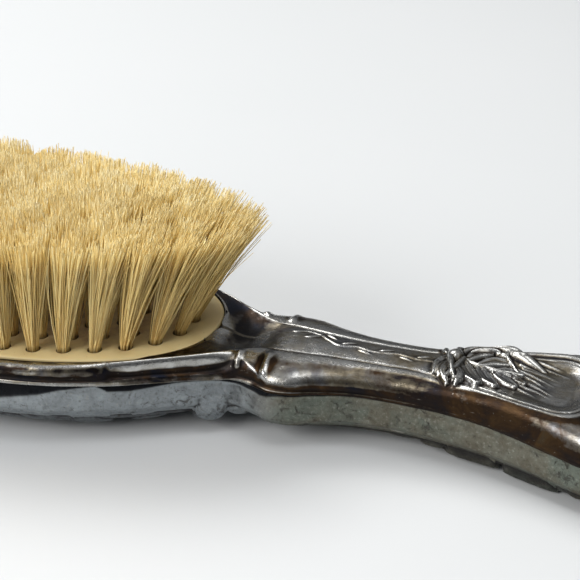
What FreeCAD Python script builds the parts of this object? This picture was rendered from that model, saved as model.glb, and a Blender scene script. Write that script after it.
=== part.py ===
import FreeCAD, Part
import os, math
from FreeCAD import Vector as V

# Vanity hairbrush: a long-handled dressing-table brush built from two stamped
# metal shells, a drilled face plate on a wooden stock, and rows of drawn
# bristle tufts. Millimetres. +X runs from the head to the handle end, +Z is
# the bristle side, Z = 0 is the surface the brush lies on (its back down).

os.makedirs("parts", exist_ok=True)
doc = FreeCAD.newDocument("vanity_hairbrush")

# ------------------------------------------------------------------ dimensions
sheet = doc.addObject("Spreadsheet::Sheet", "dims")
sheet.Label = "dims"
DIMS = [
    ("head_centre_x", -40.8, "centre of the bristle field"),
    ("plate_half_len", 55.2, "face plate, half length"),
    ("plate_half_wid", 24.4, "face plate, half width"),
    ("plate_power", 2.35, "superellipse power of the plate outline"),
    ("plate_top_z", 17.2, "top of the face plate"),
    ("plate_thick", 2.4, "face plate thickness"),
    ("plate_edge_r", 0.5, "rounded top edge of the plate"),
    ("plate_gap", 0.15, "gap between plate and rim"),
    ("stock_inset", 1.3, "stock outline inside the plate outline"),
    ("stock_thick", 6.0, "wooden stock thickness"),
    ("tuft_hole_rad", 1.35, "drilled tuft hole radius"),
    ("tuft_hole_depth", 4.6, "tuft hole depth in the stock"),
    ("wire_hole_rad", 0.5, "draw hole radius through the back of the stock"),
    ("tuft_root_rad", 1.28, "tuft radius in its hole"),
    ("tuft_tip_rad", 2.40, "tuft radius at its trimmed tip"),
    ("bristle_height", 23.6, "free bristle length above the plate"),
    ("bristle_dome", 0.8, "drop of the trimmed face towards its edge"),
    ("lean_len", 11.7, "outward lean of the end tufts at the tip"),
    ("lean_wid", 2.6, "outward lean of the side tufts at the tip"),
    ("ring_inset", 3.4, "outer tuft row inside the plate outline, at its sides"),
    ("ring_inset_end", 5.6, "outer tuft row inside the plate outline, at its ends"),
    ("ring_step", 5.35, "distance between tuft rows"),
    ("draw_wire_rad", 0.3, "brass draw wire radius"),
    ("cover_thick", 0.6, "veneer over the draw wires"),
    ("shell_thick", 1.0, "stamped shell wall"),
    ("back_flat_drop", 0.45, "depth pressed flat on the back"),
    ("handle_split_x", 19.0, "where head filler meets handle filler"),
    ("fit_gap", 0.06, "gap between filler and shell"),
]
for i, (name, val, note) in enumerate(DIMS, start=1):
    sheet.set("A%d" % i, name)
    sheet.set("B%d" % i, str(val))
    sheet.set("C%d" % i, note)
    sheet.setAlias("B%d" % i, name)
doc.recompute()


def dim(name):
    return float(sheet.get(name))


CX = dim("head_centre_x")
PZ = dim("plate_top_z")
T = dim("shell_thick")

# ------------------------------------------------------- shell stations along X
# x, seam half width, seam z, crest half width, crest z, sag of the top between
# the crests, z where the side wall turns under, z of the back on the centreline
STATIONS = [
    (-101.0, 1.6, 14.0, 1.0, 15.2, 0.0, 9.0, 7.6),
    (-100.4, 6.4, 14.0, 4.6, 16.2, 0.0, 8.2, 6.4),
    (-98.6, 10.8, 14.1, 8.8, 16.8, 0.2, 7.6, 5.0),
    (-95.0, 15.7, 14.1, 13.4, 17.2, 0.3, 7.0, 3.2),
    (-90.0, 19.6, 14.1, 17.6, 17.3, 0.4, 6.7, 1.7),
    (-82.0, 23.6, 14.1, 21.6, 17.3, 0.4, 6.6, 0.5),
    (-72.0, 26.3, 14.1, 24.3, 17.3, 0.4, 6.5, -0.2),
    (-58.0, 28.1, 14.1, 26.0, 17.3, 0.4, 6.5, -0.45),
    (-42.0, 28.4, 14.1, 26.4, 17.3, 0.4, 6.5, -0.45),
    (-30.0, 27.9, 14.1, 26.0, 17.3, 0.4, 6.5, -0.45),
    (-20.0, 26.8, 14.0, 25.1, 17.3, 0.4, 6.4, -0.4),
    (-10.0, 25.0, 13.9, 23.4, 17.3, 0.5, 6.3, -0.1),
    (-3.0, 22.5, 13.8, 20.7, 17.3, 0.6, 6.2, 0.4),
    (3.0, 19.8, 13.6, 18.0, 17.3, 0.8, 6.0, 1.1),
    (9.0, 16.5, 13.4, 14.8, 17.3, 1.2, 5.8, 1.9),
    (14.0, 13.8, 13.2, 11.9, 17.3, 1.6, 5.6, 2.6),
    (18.5, 11.6, 13.0, 9.0, 17.2, 1.8, 5.4, 3.1),
    (22.0, 10.7, 12.9, 7.0, 17.2, 1.4, 5.2, 3.3),
    (25.3, 11.4, 12.8, 5.2, 17.2, 0.4, 5.1, 3.3),
    (29.0, 12.9, 12.7, 4.8, 17.1, -0.2, 5.0, 3.2),
    (32.5, 12.8, 12.7, 4.5, 17.0, -0.4, 4.9, 3.1),
    (37.0, 11.0, 12.5, 4.1, 16.9, -0.4, 4.8, 3.0),
    (43.0, 9.1, 12.3, 4.0, 16.7, -0.4, 4.6, 2.8),
    (50.0, 8.2, 12.0, 4.0, 16.6, -0.4, 4.4, 2.6),
    (57.0, 8.3, 11.8, 4.6, 16.5, -0.6, 4.2, 2.4),
    (63.0, 8.9, 11.7, 6.8, 16.4, -0.3, 4.0, 2.1),
    (69.0, 9.9, 11.5, 8.4, 16.4, 0.4, 3.8, 1.7),
    (76.0, 12.0, 11.1, 10.1, 16.4, 0.9, 3.6, 1.3),
    (83.0, 14.6, 10.7, 11.2, 16.3, 1.1, 3.4, 1.0),
    (89.0, 16.6, 10.4, 12.0, 15.8, 0.9, 3.3, 0.9),
    (95.0, 17.0, 10.2, 12.4, 15.0, 0.5, 3.3, 1.1),
    (100.0, 14.8, 10.1, 10.6, 14.2, 0.2, 3.8, 1.7),
    (103.6, 10.2, 10.0, 7.0, 13.2, 0.0, 4.8, 3.0),
    (105.1, 5.4, 10.0, 3.6, 12.2, 0.0, 6.0, 4.8),
    (105.6, 1.6, 10.0, 1.0, 11.2, 0.0, 7.4, 6.4),
]


def top_points(s):
    # half profile from the near seam over the crest to the far seam
    x, hs, zs, hc, zc, sag, zw, zb = s
    h = zc - zs
    w = hs - hc
    half = [(-hs, zs), (-hs + 0.10 * w, zs + 0.34 * h), (-hs + 0.42 * w, zs + 0.72 * h),
            (-hc, zc), (-hc * 0.80, zc - 0.25 * sag), (-hc * 0.45, zc - 0.8 * sag)]
    return half + [(0.0, zc - sag)] + [(-y, z) for y, z in reversed(half)]


def back_points(s):
    x, hs, zs, hc, zc, sag, zw, zb = s
    hw = zw - zb
    half = [(-hs, zs), (-hs * 0.992, 0.5 * (zs + zw)), (-hs * 0.955, zw),
            (-hs * 0.86, zw - 0.42 * hw), (-hs * 0.66, zw - 0.80 * hw), (-hs * 0.36, zw - 0.97 * hw)]
    return half + [(0.0, zb)] + [(-y, z) for y, z in reversed(half)]


def inset(pts, d):
    # move an open profile inwards by d, keeping its order
    out = []
    n = len(pts)
    for i in range(n):
        a = pts[max(i - 1, 0)]
        b = pts[min(i + 1, n - 1)]
        ty, tz = b[0] - a[0], b[1] - a[1]
        L = math.hypot(ty, tz) or 1.0
        ny, nz = tz / L, -ty / L
        # towards the profile's own middle
        my = 0.0
        mz = 0.5 * (pts[0][1] + pts[n // 2][1])
        if (my - pts[i][0]) * ny + (mz - pts[i][1]) * nz < 0:
            ny, nz = -ny, -nz
        out.append((pts[i][0] + d * ny, pts[i][1] + d * nz))
    return out


def station_at(x):
    for a, b in zip(STATIONS, STATIONS[1:]):
        if a[0] <= x <= b[0]:
            f = (x - a[0]) / (b[0] - a[0])
            return tuple([x] + [a[i] + f * (b[i] - a[i]) for i in range(1, 8)])
    raise ValueError(x)


def spline_wire(x, pts, close_z):
    # an open interpolated profile closed by straight edges at close_z
    p = [V(x, y, z) for y, z in pts]
    c = Part.BSplineCurve()
    c.interpolate(p)
    edges = [c.toShape()]
    a, b = p[-1], p[0]
    if close_z is None:
        return Part.Wire(edges + [Part.makeLine(a, b)])
    a2, b2 = V(x, a.y, close_z), V(x, b.y, close_z)
    edges += [Part.makeLine(a, a2), Part.makeLine(a2, b2), Part.makeLine(b2, b)]
    return Part.Wire(edges)


def loft(wires):
    s = Part.makeLoft(wires, True, True)
    if s.ShapeType != "Solid":
        s = s.Solids[0]
    if s.Volume < 0:
        s.reverse()
    return s


def xs_between(x0, x1):
    return [x0] + [s[0] for s in STATIONS if x0 + 0.4 < s[0] < x1 - 0.4] + [x1]


X0, X1 = STATIONS[0][0], STATIONS[-1][0]


def outer_top():
    return loft([spline_wire(s[0], top_points(s), None) for s in STATIONS])


def outer_back():
    return loft([spline_wire(s[0], back_points(s), None) for s in STATIONS])


def inner_top(d, x0, x1, drop):
    w = []
    for x in xs_between(x0, x1):
        s = station_at(x)
        w.append(spline_wire(x, inset(top_points(s), d), s[2] - drop))
    return loft(w)


def inner_back(d, x0, x1, rise):
    w = []
    for x in xs_between(x0, x1):
        s = station_at(x)
        w.append(spline_wire(x, inset(back_points(s), d), None if rise is None else s[2] + rise))
    return loft(w)


# --------------------------------------------------------------- plan outlines
def super_pts(a, b, power, count):
    out = []
    for i in range(count):
        t = 2 * math.pi * i / count
        c, s = math.cos(t), math.sin(t)
        out.append(V(CX + a * math.copysign(abs(c) ** (2 / power), c),
                     b * math.copysign(abs(s) ** (2 / power), s), 0))
    return out


def outline_curve(grow):
    pts = super_pts(dim("plate_half_len") + grow, dim("plate_half_wid") + grow, dim("plate_power"), 48)
    c = Part.BSplineCurve()
    c.interpolate(pts, PeriodicFlag=True)
    return c


def outline_prism(grow, z0, z1):
    f = Part.Face(Part.Wire([outline_curve(grow).toShape()]))
    f.translate(V(0, 0, z0))
    return f.extrude(V(0, 0, z1 - z0))


def ring(a, b, power, count, phase):
    fine = super_pts(a, b, power, 1440)
    fine.append(fine[0])
    acc = [0.0]
    for p, q in zip(fine, fine[1:]):
        acc.append(acc[-1] + (q - p).Length)
    out = []
    k = 0
    for i in range(count):
        want = ((i + phase) / count % 1.0) * acc[-1]
        k = max(j for j in range(len(acc) - 1) if acc[j] <= want)
        f = (want - acc[k]) / (acc[k + 1] - acc[k])
        out.append(fine[k] + (fine[k + 1] - fine[k]) * f)
    return out


# tuft rows: four closed rings that follow the plate outline, each worked as a
# near row and a far row, and one straight row down the middle
RA = dim("plate_half_len") - dim("ring_inset_end")
RB = dim("plate_half_wid") - dim("ring_inset")
STEP = dim("ring_step")
RINGS = [(0, 40, 0.22), (1, 34, 0.5), (2, 27, 0.25), (3, 20, 0.5)]
ROWS = {}
for k, count, phase in RINGS:
    pts = ring(RA - k * STEP, RB - k * STEP * 0.985, 2.3, count, phase)
    ROWS["near_%d" % (k + 1)] = sorted([p for p in pts if p.y < 0], key=lambda p: p.x)
    ROWS["far_%d" % (k + 1)] = sorted([p for p in pts if p.y >= 0], key=lambda p: p.x)
ROWS["middle"] = [V(CX + 7.1 * (i - 4), 0, 0) for i in range(9)]
ALL = [p for r in ROWS.values() for p in r]


def tip_of(p):
    u = (p.x - CX) / RA
    v = p.y / RB
    r2 = min(1.0, u * u + v * v)
    return V(p.x + dim("lean_len") * math.copysign(abs(u) ** 2.3, u),
             p.y + dim("lean_wid") * math.copysign(abs(v) ** 1.5, v) * (1 - 0.5 * u * u),
             PZ + dim("bristle_height") - dim("bristle_dome") * r2)


# ----------------------------------------------------------- PartDesign bodies
def plane_of(body, role):
    return [f for f in body.Origin.OriginFeatures if f.Role == role][0]


def outline_sketch(body, name, grow):
    sk = body.newObject("Sketcher::SketchObject", name)
    sk.AttachmentSupport = [(plane_of(body, "XY_Plane"), "")]
    sk.MapMode = "FlatFace"
    sk.addGeometry(outline_curve(grow), False)
    return sk


def circles_sketch(body, name, pts, radius, offset_expr):
    sk = body.newObject("Sketcher::SketchObject", name)
    sk.AttachmentSupport = [(plane_of(body, "XY_Plane"), "")]
    sk.MapMode = "FlatFace"
    sk.addGeometry([Part.Circle(V(p.x, p.y, 0), V(0, 0, 1), radius) for p in pts], False)
    sk.setExpression("AttachmentOffset.Base.z", offset_expr)
    return sk


def drilled_plate(label, grow, thick_expr, z_expr, holes, edge_expr=None):
    # a flat plate with the bristle outline; its body sits at z_expr
    body = doc.addObject("PartDesign::Body", label + "_body")
    body.Label = label
    pad = body.newObject("PartDesign::Pad", label + "_pad")
    pad.Profile = outline_sketch(body, label + "_outline", grow)
    pad.setExpression("Length", thick_expr)
    doc.recompute()
    tip = pad
    for i, (radius, depth_expr, top_expr) in enumerate(holes):
        before = body.Shape.Volume
        pk = body.newObject("PartDesign::Pocket", "%s_holes_%d" % (label, i))
        pk.Profile = circles_sketch(body, "%s_circles_%d" % (label, i), ALL, radius, top_expr)
        pk.setExpression("Length", depth_expr)
        doc.recompute()
        if body.Shape.Volume > before - 1:
            pk.Reversed = True
            doc.recompute()
        if body.Shape.Volume > before - 1:
            raise RuntimeError("pocket cuts nothing: " + pk.Name)
        tip = pk
    if edge_expr:
        top = tip.Shape.BoundBox.ZMax
        names = []
        for n, e in enumerate(tip.Shape.Edges, start=1):
            bb = e.BoundBox
            if abs(bb.ZMin - top) < 1e-4 and abs(bb.ZMax - top) < 1e-4 and bb.XLength > 50:
                names.append("Edge%d" % n)
        fil = body.newObject("PartDesign::Fillet", label + "_edge")
        fil.Base = (tip, names)
        fil.setExpression("Radius", edge_expr)
        doc.recompute()
        tip = fil
    body.Tip = tip
    body.setExpression("Placement.Base.z", z_expr)
    doc.recompute()
    return body


plate = drilled_plate(
    "bristle_plate", 0.0, "dims.plate_thick", "dims.plate_top_z - dims.plate_thick",
    [(dim("tuft_hole_rad"), "dims.plate_thick + 1", "dims.plate_thick")], "dims.plate_edge_r")

stock = drilled_plate(
    "brush_stock", -dim("stock_inset"), "dims.stock_thick",
    "dims.plate_top_z - dims.plate_thick - dims.stock_thick",
    [(dim("tuft_hole_rad"), "dims.tuft_hole_depth", "dims.stock_thick"),
     (dim("wire_hole_rad"), "dims.stock_thick + 1", "dims.stock_thick")])

Z_STOCK_TOP = PZ - dim("plate_thick")
Z_STOCK = Z_STOCK_TOP - dim("stock_thick")
Z_ROOT = Z_STOCK_TOP - dim("tuft_hole_depth")
RW = dim("draw_wire_rad")
Z_WIRE = Z_STOCK - RW
Z_COVER_TOP = Z_STOCK - 2 * RW

cover = drilled_plate(
    "stock_cover", -dim("stock_inset"), "dims.cover_thick",
    "dims.plate_top_z - dims.plate_thick - dims.stock_thick - 2 * dims.draw_wire_rad - dims.cover_thick",
    [])

NODES = [plate, stock, cover]


def feature(label, shape):
    ob = doc.addObject("Part::Feature", label + "_feature")
    ob.Label = label
    ob.Shape = shape
    ob.Placement = FreeCAD.Placement()
    NODES.append(ob)
    return ob


# ----------------------------------------------------------------- bristle rows
def tuft(p):
    r0, r1 = dim("tuft_root_rad"), dim("tuft_tip_rad")
    q = tip_of(p)

    def circ(c, r):
        return Part.Wire([Part.makeCircle(r, c, V(0, 0, 1))])
    s = Part.makeLoft([circ(V(p.x, p.y, Z_ROOT), r0), circ(V(p.x, p.y, PZ + 0.2), r0), circ(q, r1)],
                      True, True)
    return s if s.ShapeType == "Solid" else s.Solids[0]


for name, pts in ROWS.items():
    feature("tuft_row_" + name, Part.makeCompound([tuft(p) for p in pts]))


# ------------------------------------------------------------------- draw wires
# one brass wire per row lies on the back of the stock, with a loop up through
# each draw hole to the fold of its tuft
def draw_wire(pts):
    parts = []
    for p in pts:
        parts.append(Part.makeCylinder(RW * 1.35, Z_ROOT - Z_WIRE, V(p.x, p.y, Z_WIRE)))
    for p, q in zip(pts, pts[1:]):
        d = V(q.x - p.x, q.y - p.y, 0)
        parts.append(Part.makeCylinder(RW, d.Length, V(p.x, p.y, Z_WIRE), d))
    for p in pts:
        parts.append(Part.makeCylinder(RW * 1.35, RW * 0.98, V(p.x, p.y, Z_WIRE - RW * 0.98)))
    s = parts[0].fuse(parts[1:]).removeSplitter()
    return s.Solids[0] if len(s.Solids) == 1 else s


for name, pts in ROWS.items():
    feature("draw_wire_" + name, draw_wire(pts))

# ----------------------------------------------------------------------- shells
# back shell: deep side wall, rolled under to a broad back with a pressed flat
back = outer_back().cut(inner_back(T, X0 + T, X1 - T, 2.0))
floor_cut = Part.makeBox(400, 200, 20, V(-200, -100, -20))
back = back.cut(floor_cut)
back_shell = feature("back_shell", back.Solids[0] if len(back.Solids) == 1 else back)

# face frame: rim round the plate, throat of the neck and front of the handle
front = outer_top().cut(inner_top(T, X0 + T, X1 - T, 2.0))
front = front.cut(outline_prism(dim("plate_gap"), 0, 30))
face_frame = feature("face_frame", front.Solids[0] if len(front.Solids) == 1 else front)

# ---------------------------------------------------------------------- fillers
g = dim("fit_gap")
XS = dim("handle_split_x")
hb = inner_back(T + g, X0 + T + g, XS, None)
keep = outline_prism(-dim("stock_inset") + 0.1, Z_COVER_TOP - dim("cover_thick"), 30)
head_fill = hb.cut(keep)
feature("head_filler", head_fill.Solids[0] if len(head_fill.Solids) == 1 else head_fill)


def core_wire(x):
    s = station_at(x)
    top = inset(top_points(s), T + g)
    bot = inset(back_points(s), T + g)
    top = [(y, z) for y, z in top[1:-1]]
    bot = [(y, z) for y, z in bot[1:-1]]
    loop = top + list(reversed(bot))
    c = Part.BSplineCurve()
    c.interpolate([V(x, y, z) for y, z in loop], PeriodicFlag=True)
    return Part.Wire([c.toShape()])


feature("handle_filler", loft([core_wire(x) for x in xs_between(XS + g, X1 - T - 1.2)]))

# ------------------------------------------------------------- checks and files
doc.recompute()
for ob in doc.Objects:
    bad = [s for s in ob.State if s in ("Invalid", "Error")]
    if bad:
        raise RuntimeError("%s is %s" % (ob.Name, bad))
labels = [n.Label for n in NODES]
if len(set(labels)) != len(labels):
    raise RuntimeError("labels repeat")
for n in NODES:
    if n.Shape.isNull() or not n.Shape.isValid():
        raise RuntimeError("bad shape: " + n.Label)
for n in NODES:
    n.Shape.exportStep(os.path.join("parts", n.Label + ".step"))
    bb = n.Shape.BoundBox
    print("%-18s solids %3d  vol %9.1f  x %7.2f %7.2f  y %6.2f %6.2f  z %6.2f %6.2f" % (
        n.Label, len(n.Shape.Solids), n.Shape.Volume, bb.XMin, bb.XMax, bb.YMin, bb.YMax, bb.ZMin, bb.ZMax))
print("nodes", len(NODES), "tufts", len(ALL))
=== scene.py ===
import bpy, bmesh, math, random
import numpy as np
from mathutils import Vector, Matrix
from mathutils.geometry import delaunay_2d_cdt


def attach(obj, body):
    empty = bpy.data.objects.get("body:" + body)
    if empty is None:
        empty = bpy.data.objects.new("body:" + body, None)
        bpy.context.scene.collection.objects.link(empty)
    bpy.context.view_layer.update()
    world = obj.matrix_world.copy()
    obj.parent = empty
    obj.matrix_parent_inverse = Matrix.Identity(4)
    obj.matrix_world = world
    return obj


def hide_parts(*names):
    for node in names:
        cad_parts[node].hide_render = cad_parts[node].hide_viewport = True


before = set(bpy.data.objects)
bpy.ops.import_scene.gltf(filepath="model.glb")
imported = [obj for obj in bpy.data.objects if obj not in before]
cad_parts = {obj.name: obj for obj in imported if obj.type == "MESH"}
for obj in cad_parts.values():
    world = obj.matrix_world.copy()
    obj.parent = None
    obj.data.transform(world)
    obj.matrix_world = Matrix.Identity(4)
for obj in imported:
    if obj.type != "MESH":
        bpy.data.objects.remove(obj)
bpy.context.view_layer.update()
MM = 0.001
rng = np.random.default_rng(20417)

# ============================================================ shared dimensions
CX = -40.8            # centre of the bristle field, mm
PA, PB, PN = 55.2, 24.4, 2.35
PZ = 17.2             # top of the face plate
PT = 2.4

# x, seam half width, seam z, crest half width, crest z, sag, wall foot z, back z
STATIONS = np.array([
    (-101.0, 1.6, 14.0, 1.0, 15.2, 0.0, 9.0, 7.6),
    (-100.4, 6.4, 14.0, 4.6, 16.2, 0.0, 8.2, 6.4),
    (-98.6, 10.8, 14.1, 8.8, 16.8, 0.2, 7.6, 5.0),
    (-95.0, 15.7, 14.1, 13.4, 17.2, 0.3, 7.0, 3.2),
    (-90.0, 19.6, 14.1, 17.6, 17.3, 0.4, 6.7, 1.7),
    (-82.0, 23.6, 14.1, 21.6, 17.3, 0.4, 6.6, 0.5),
    (-72.0, 26.3, 14.1, 24.3, 17.3, 0.4, 6.5, 0.0),
    (-58.0, 28.1, 14.1, 26.0, 17.3, 0.4, 6.5, 0.0),
    (-42.0, 28.4, 14.1, 26.4, 17.3, 0.4, 6.5, 0.0),
    (-30.0, 27.9, 14.1, 26.0, 17.3, 0.4, 6.5, 0.0),
    (-20.0, 26.8, 14.0, 25.1, 17.3, 0.4, 6.4, 0.0),
    (-10.0, 25.0, 13.9, 23.4, 17.3, 0.5, 6.3, 0.1),
    (-3.0, 22.5, 13.8, 20.7, 17.3, 0.6, 6.2, 0.5),
    (3.0, 19.8, 13.6, 18.0, 17.3, 0.8, 6.0, 1.1),
    (9.0, 16.5, 13.4, 14.8, 17.3, 1.2, 5.8, 1.9),
    (14.0, 13.8, 13.2, 11.9, 17.3, 1.6, 5.6, 2.6),
    (18.5, 11.6, 13.0, 9.0, 17.2, 1.8, 5.4, 3.1),
    (22.0, 10.7, 12.9, 7.0, 17.2, 1.4, 5.2, 3.3),
    (25.3, 11.4, 12.8, 5.2, 17.2, 0.4, 5.1, 3.3),
    (29.0, 12.9, 12.7, 4.8, 17.1, -0.2, 5.0, 3.2),
    (32.5, 12.8, 12.7, 4.5, 17.0, -0.4, 4.9, 3.1),
    (37.0, 11.0, 12.5, 4.1, 16.9, -0.4, 4.8, 3.0),
    (43.0, 9.1, 12.3, 4.0, 16.7, -0.4, 4.6, 2.8),
    (50.0, 8.2, 12.0, 4.0, 16.6, -0.4, 4.4, 2.6),
    (57.0, 8.3, 11.8, 4.6, 16.5, -0.6, 4.2, 2.4),
    (63.0, 8.9, 11.7, 6.8, 16.4, -0.3, 4.0, 2.1),
    (69.0, 9.9, 11.5, 8.4, 16.4, 0.4, 3.8, 1.7),
    (76.0, 12.0, 11.1, 10.1, 16.4, 0.9, 3.6, 1.3),
    (83.0, 14.6, 10.7, 11.2, 16.3, 1.1, 3.4, 1.0),
    (89.0, 16.6, 10.4, 12.0, 15.8, 0.9, 3.3, 0.9),
    (95.0, 17.0, 10.2, 12.4, 15.0, 0.5, 3.3, 1.1),
    (100.0, 14.8, 10.1, 10.6, 14.2, 0.2, 3.8, 1.7),
    (103.6, 10.2, 10.0, 7.0, 13.2, 0.0, 4.8, 3.0),
    (105.1, 5.4, 10.0, 3.6, 12.2, 0.0, 6.0, 4.8),
    (105.6, 0.0, 10.0, 0.0, 11.2, 0.0, 7.4, 6.4),
])


# ================================================================ small helpers
def hermite(xq, xs, ys):
    """Cubic through (xs, ys) with Catmull-Rom slopes."""
    xs = np.asarray(xs, float); ys = np.asarray(ys, float)
    d = np.diff(ys) / np.diff(xs)
    m = np.empty_like(ys)
    m[1:-1] = (d[:-1] * np.diff(xs)[1:] + d[1:] * np.diff(xs)[:-1]) / (np.diff(xs)[1:] + np.diff(xs)[:-1])
    m[0], m[-1] = d[0], d[-1]
    i = np.clip(np.searchsorted(xs, xq) - 1, 0, len(xs) - 2)
    h = xs[i + 1] - xs[i]
    t = np.clip((xq - xs[i]) / h, 0, 1)
    t2, t3 = t * t, t * t * t
    return ((2 * t3 - 3 * t2 + 1) * ys[i] + (t3 - 2 * t2 + t) * h * m[i]
            + (-2 * t3 + 3 * t2) * ys[i + 1] + (t3 - t2) * h * m[i + 1])


def smooth(a, b, x):
    t = np.clip((x - a) / (b - a), 0, 1)
    return t * t * (3 - 2 * t)


def bump(x, c, w):
    return np.exp(-((x - c) / w) ** 2)


def hash_noise(p, seed=0):
    """Smooth value noise for an (n, 2) or (n, 3) array of positions."""
    p = np.asarray(p, float)
    i = np.floor(p).astype(np.int64)
    f = p - i
    f = f * f * (3 - 2 * f)
    dims = p.shape[1]
    out = np.zeros(len(p))
    for c in range(2 ** dims):
        w = np.ones(len(p)); h = np.full(len(p), seed * 7919 + 13, np.int64)
        for k in range(dims):
            bit = (c >> k) & 1
            w = w * (f[:, k] if bit else 1 - f[:, k])
            h = h * 1103515245 + (i[:, k] + bit) * (374761393 + 668265263 * k)
            h = (h ^ (h >> 13)) * 1274126177
            h = h & 0x7FFFFFFF
        out += w * ((h % 65536) / 65535.0)
    return out * 2 - 1


def fbm(p, octaves=4, seed=0, gain=0.5):
    out = np.zeros(len(p)); amp = 1.0; tot = 0
    q = np.asarray(p, float)
    for k in range(octaves):
        out += amp * hash_noise(q, seed + k); tot += amp
        q = q * 2.03 + 11.7; amp *= gain
    return out / tot


def seg_dist(px, py, pts):
    """Distance from points to a polyline, and the running position (0..1) along it."""
    pts = np.asarray(pts, float)
    best = np.full(px.shape, 1e9); along = np.zeros(px.shape); side = np.zeros(px.shape)
    L = np.concatenate([[0], np.cumsum(np.hypot(*np.diff(pts, axis=0).T))])
    for k in range(len(pts) - 1):
        a, b = pts[k], pts[k + 1]
        d = b - a
        l2 = (d ** 2).sum()
        t = np.clip(((px - a[0]) * d[0] + (py - a[1]) * d[1]) / l2, 0, 1)
        qx, qy = a[0] + t * d[0], a[1] + t * d[1]
        r = np.hypot(px - qx, py - qy)
        m = r < best
        best = np.where(m, r, best)
        along = np.where(m, (L[k] + t * math.sqrt(l2)) / L[-1], along)
        side = np.where(m, np.sign(d[0] * (py - a[1]) - d[1] * (px - a[0])), side)
    return best, along, side


def curve_pts(ctrl, n=24):
    """Smooth line through control points (Catmull-Rom)."""
    c = np.asarray(ctrl, float)
    L = np.concatenate([[0], np.cumsum(np.hypot(*np.diff(c, axis=0).T))])
    t = np.linspace(0, L[-1], n)
    return np.stack([hermite(t, L, c[:, 0]), hermite(t, L, c[:, 1])], -1)


def ridge(px, py, pts, width, height, taper=0.0, shape="round"):
    """Raised rounded ridge along a polyline; taper shrinks it to its ends."""
    d, a, s = seg_dist(px, py, pts)
    w = width * (1 - taper * np.abs(2 * a - 1) ** 2)
    x = np.clip(d / np.maximum(w, 1e-6), 0, 1)
    if shape == "round":
        prof = np.sqrt(np.clip(1 - x * x, 0, 1))
    else:
        prof = (1 - x) ** 2 * (1 + 2 * x)
    return height * prof * (1 - taper * np.abs(2 * a - 1) ** 2 * 0.7)


def new_mesh(name, verts, faces, smooth_shade=True):
    """verts in mm, faces an (n, 3|4) int array or a list."""
    me = bpy.data.meshes.new(name)
    v = np.asarray(verts, np.float32) * MM
    if isinstance(faces, np.ndarray):
        k = faces.shape[1]
        me.vertices.add(len(v)); me.vertices.foreach_set("co", v.ravel())
        me.loops.add(faces.size); me.loops.foreach_set("vertex_index", faces.astype(np.int32).ravel())
        me.polygons.add(len(faces))
        me.polygons.foreach_set("loop_start", np.arange(0, faces.size, k, dtype=np.int32))
        me.polygons.foreach_set("loop_total", np.full(len(faces), k, np.int32))
    else:
        me.from_pydata([tuple(map(float, p)) for p in v], [], faces)
    me.update(calc_edges=True)
    me.validate()
    if smooth_shade:
        me.polygons.foreach_set("use_smooth", np.ones(len(me.polygons), bool))
    ob = bpy.data.objects.new(name, me)
    bpy.context.scene.collection.objects.link(ob)
    return ob


def point_attr(ob, name, values):
    a = ob.data.attributes.new(name, "FLOAT", "POINT")
    a.data.foreach_set("value", np.asarray(values, np.float32))


def grid_faces(n, m, close_m=False):
    i = np.arange(n - 1)[:, None]; j = np.arange(m if close_m else m - 1)[None, :]
    a = i * m + j; b = i * m + (j + 1) % m; c = (i + 1) * m + (j + 1) % m; d = (i + 1) * m + j
    return np.stack([a, b, c, d], -1).reshape(-1, 4)


# ============================================================== plan of the brush
SX = STATIONS[:, 0]


def st(x, col):
    return hermite(x, SX, STATIONS[:, col])


def super_outline(theta, a, b, n):
    c, s = np.cos(theta), np.sin(theta)
    return CX + a * np.sign(c) * np.abs(c) ** (2 / n), b * np.sign(s) * np.abs(s) ** (2 / n)


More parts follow.
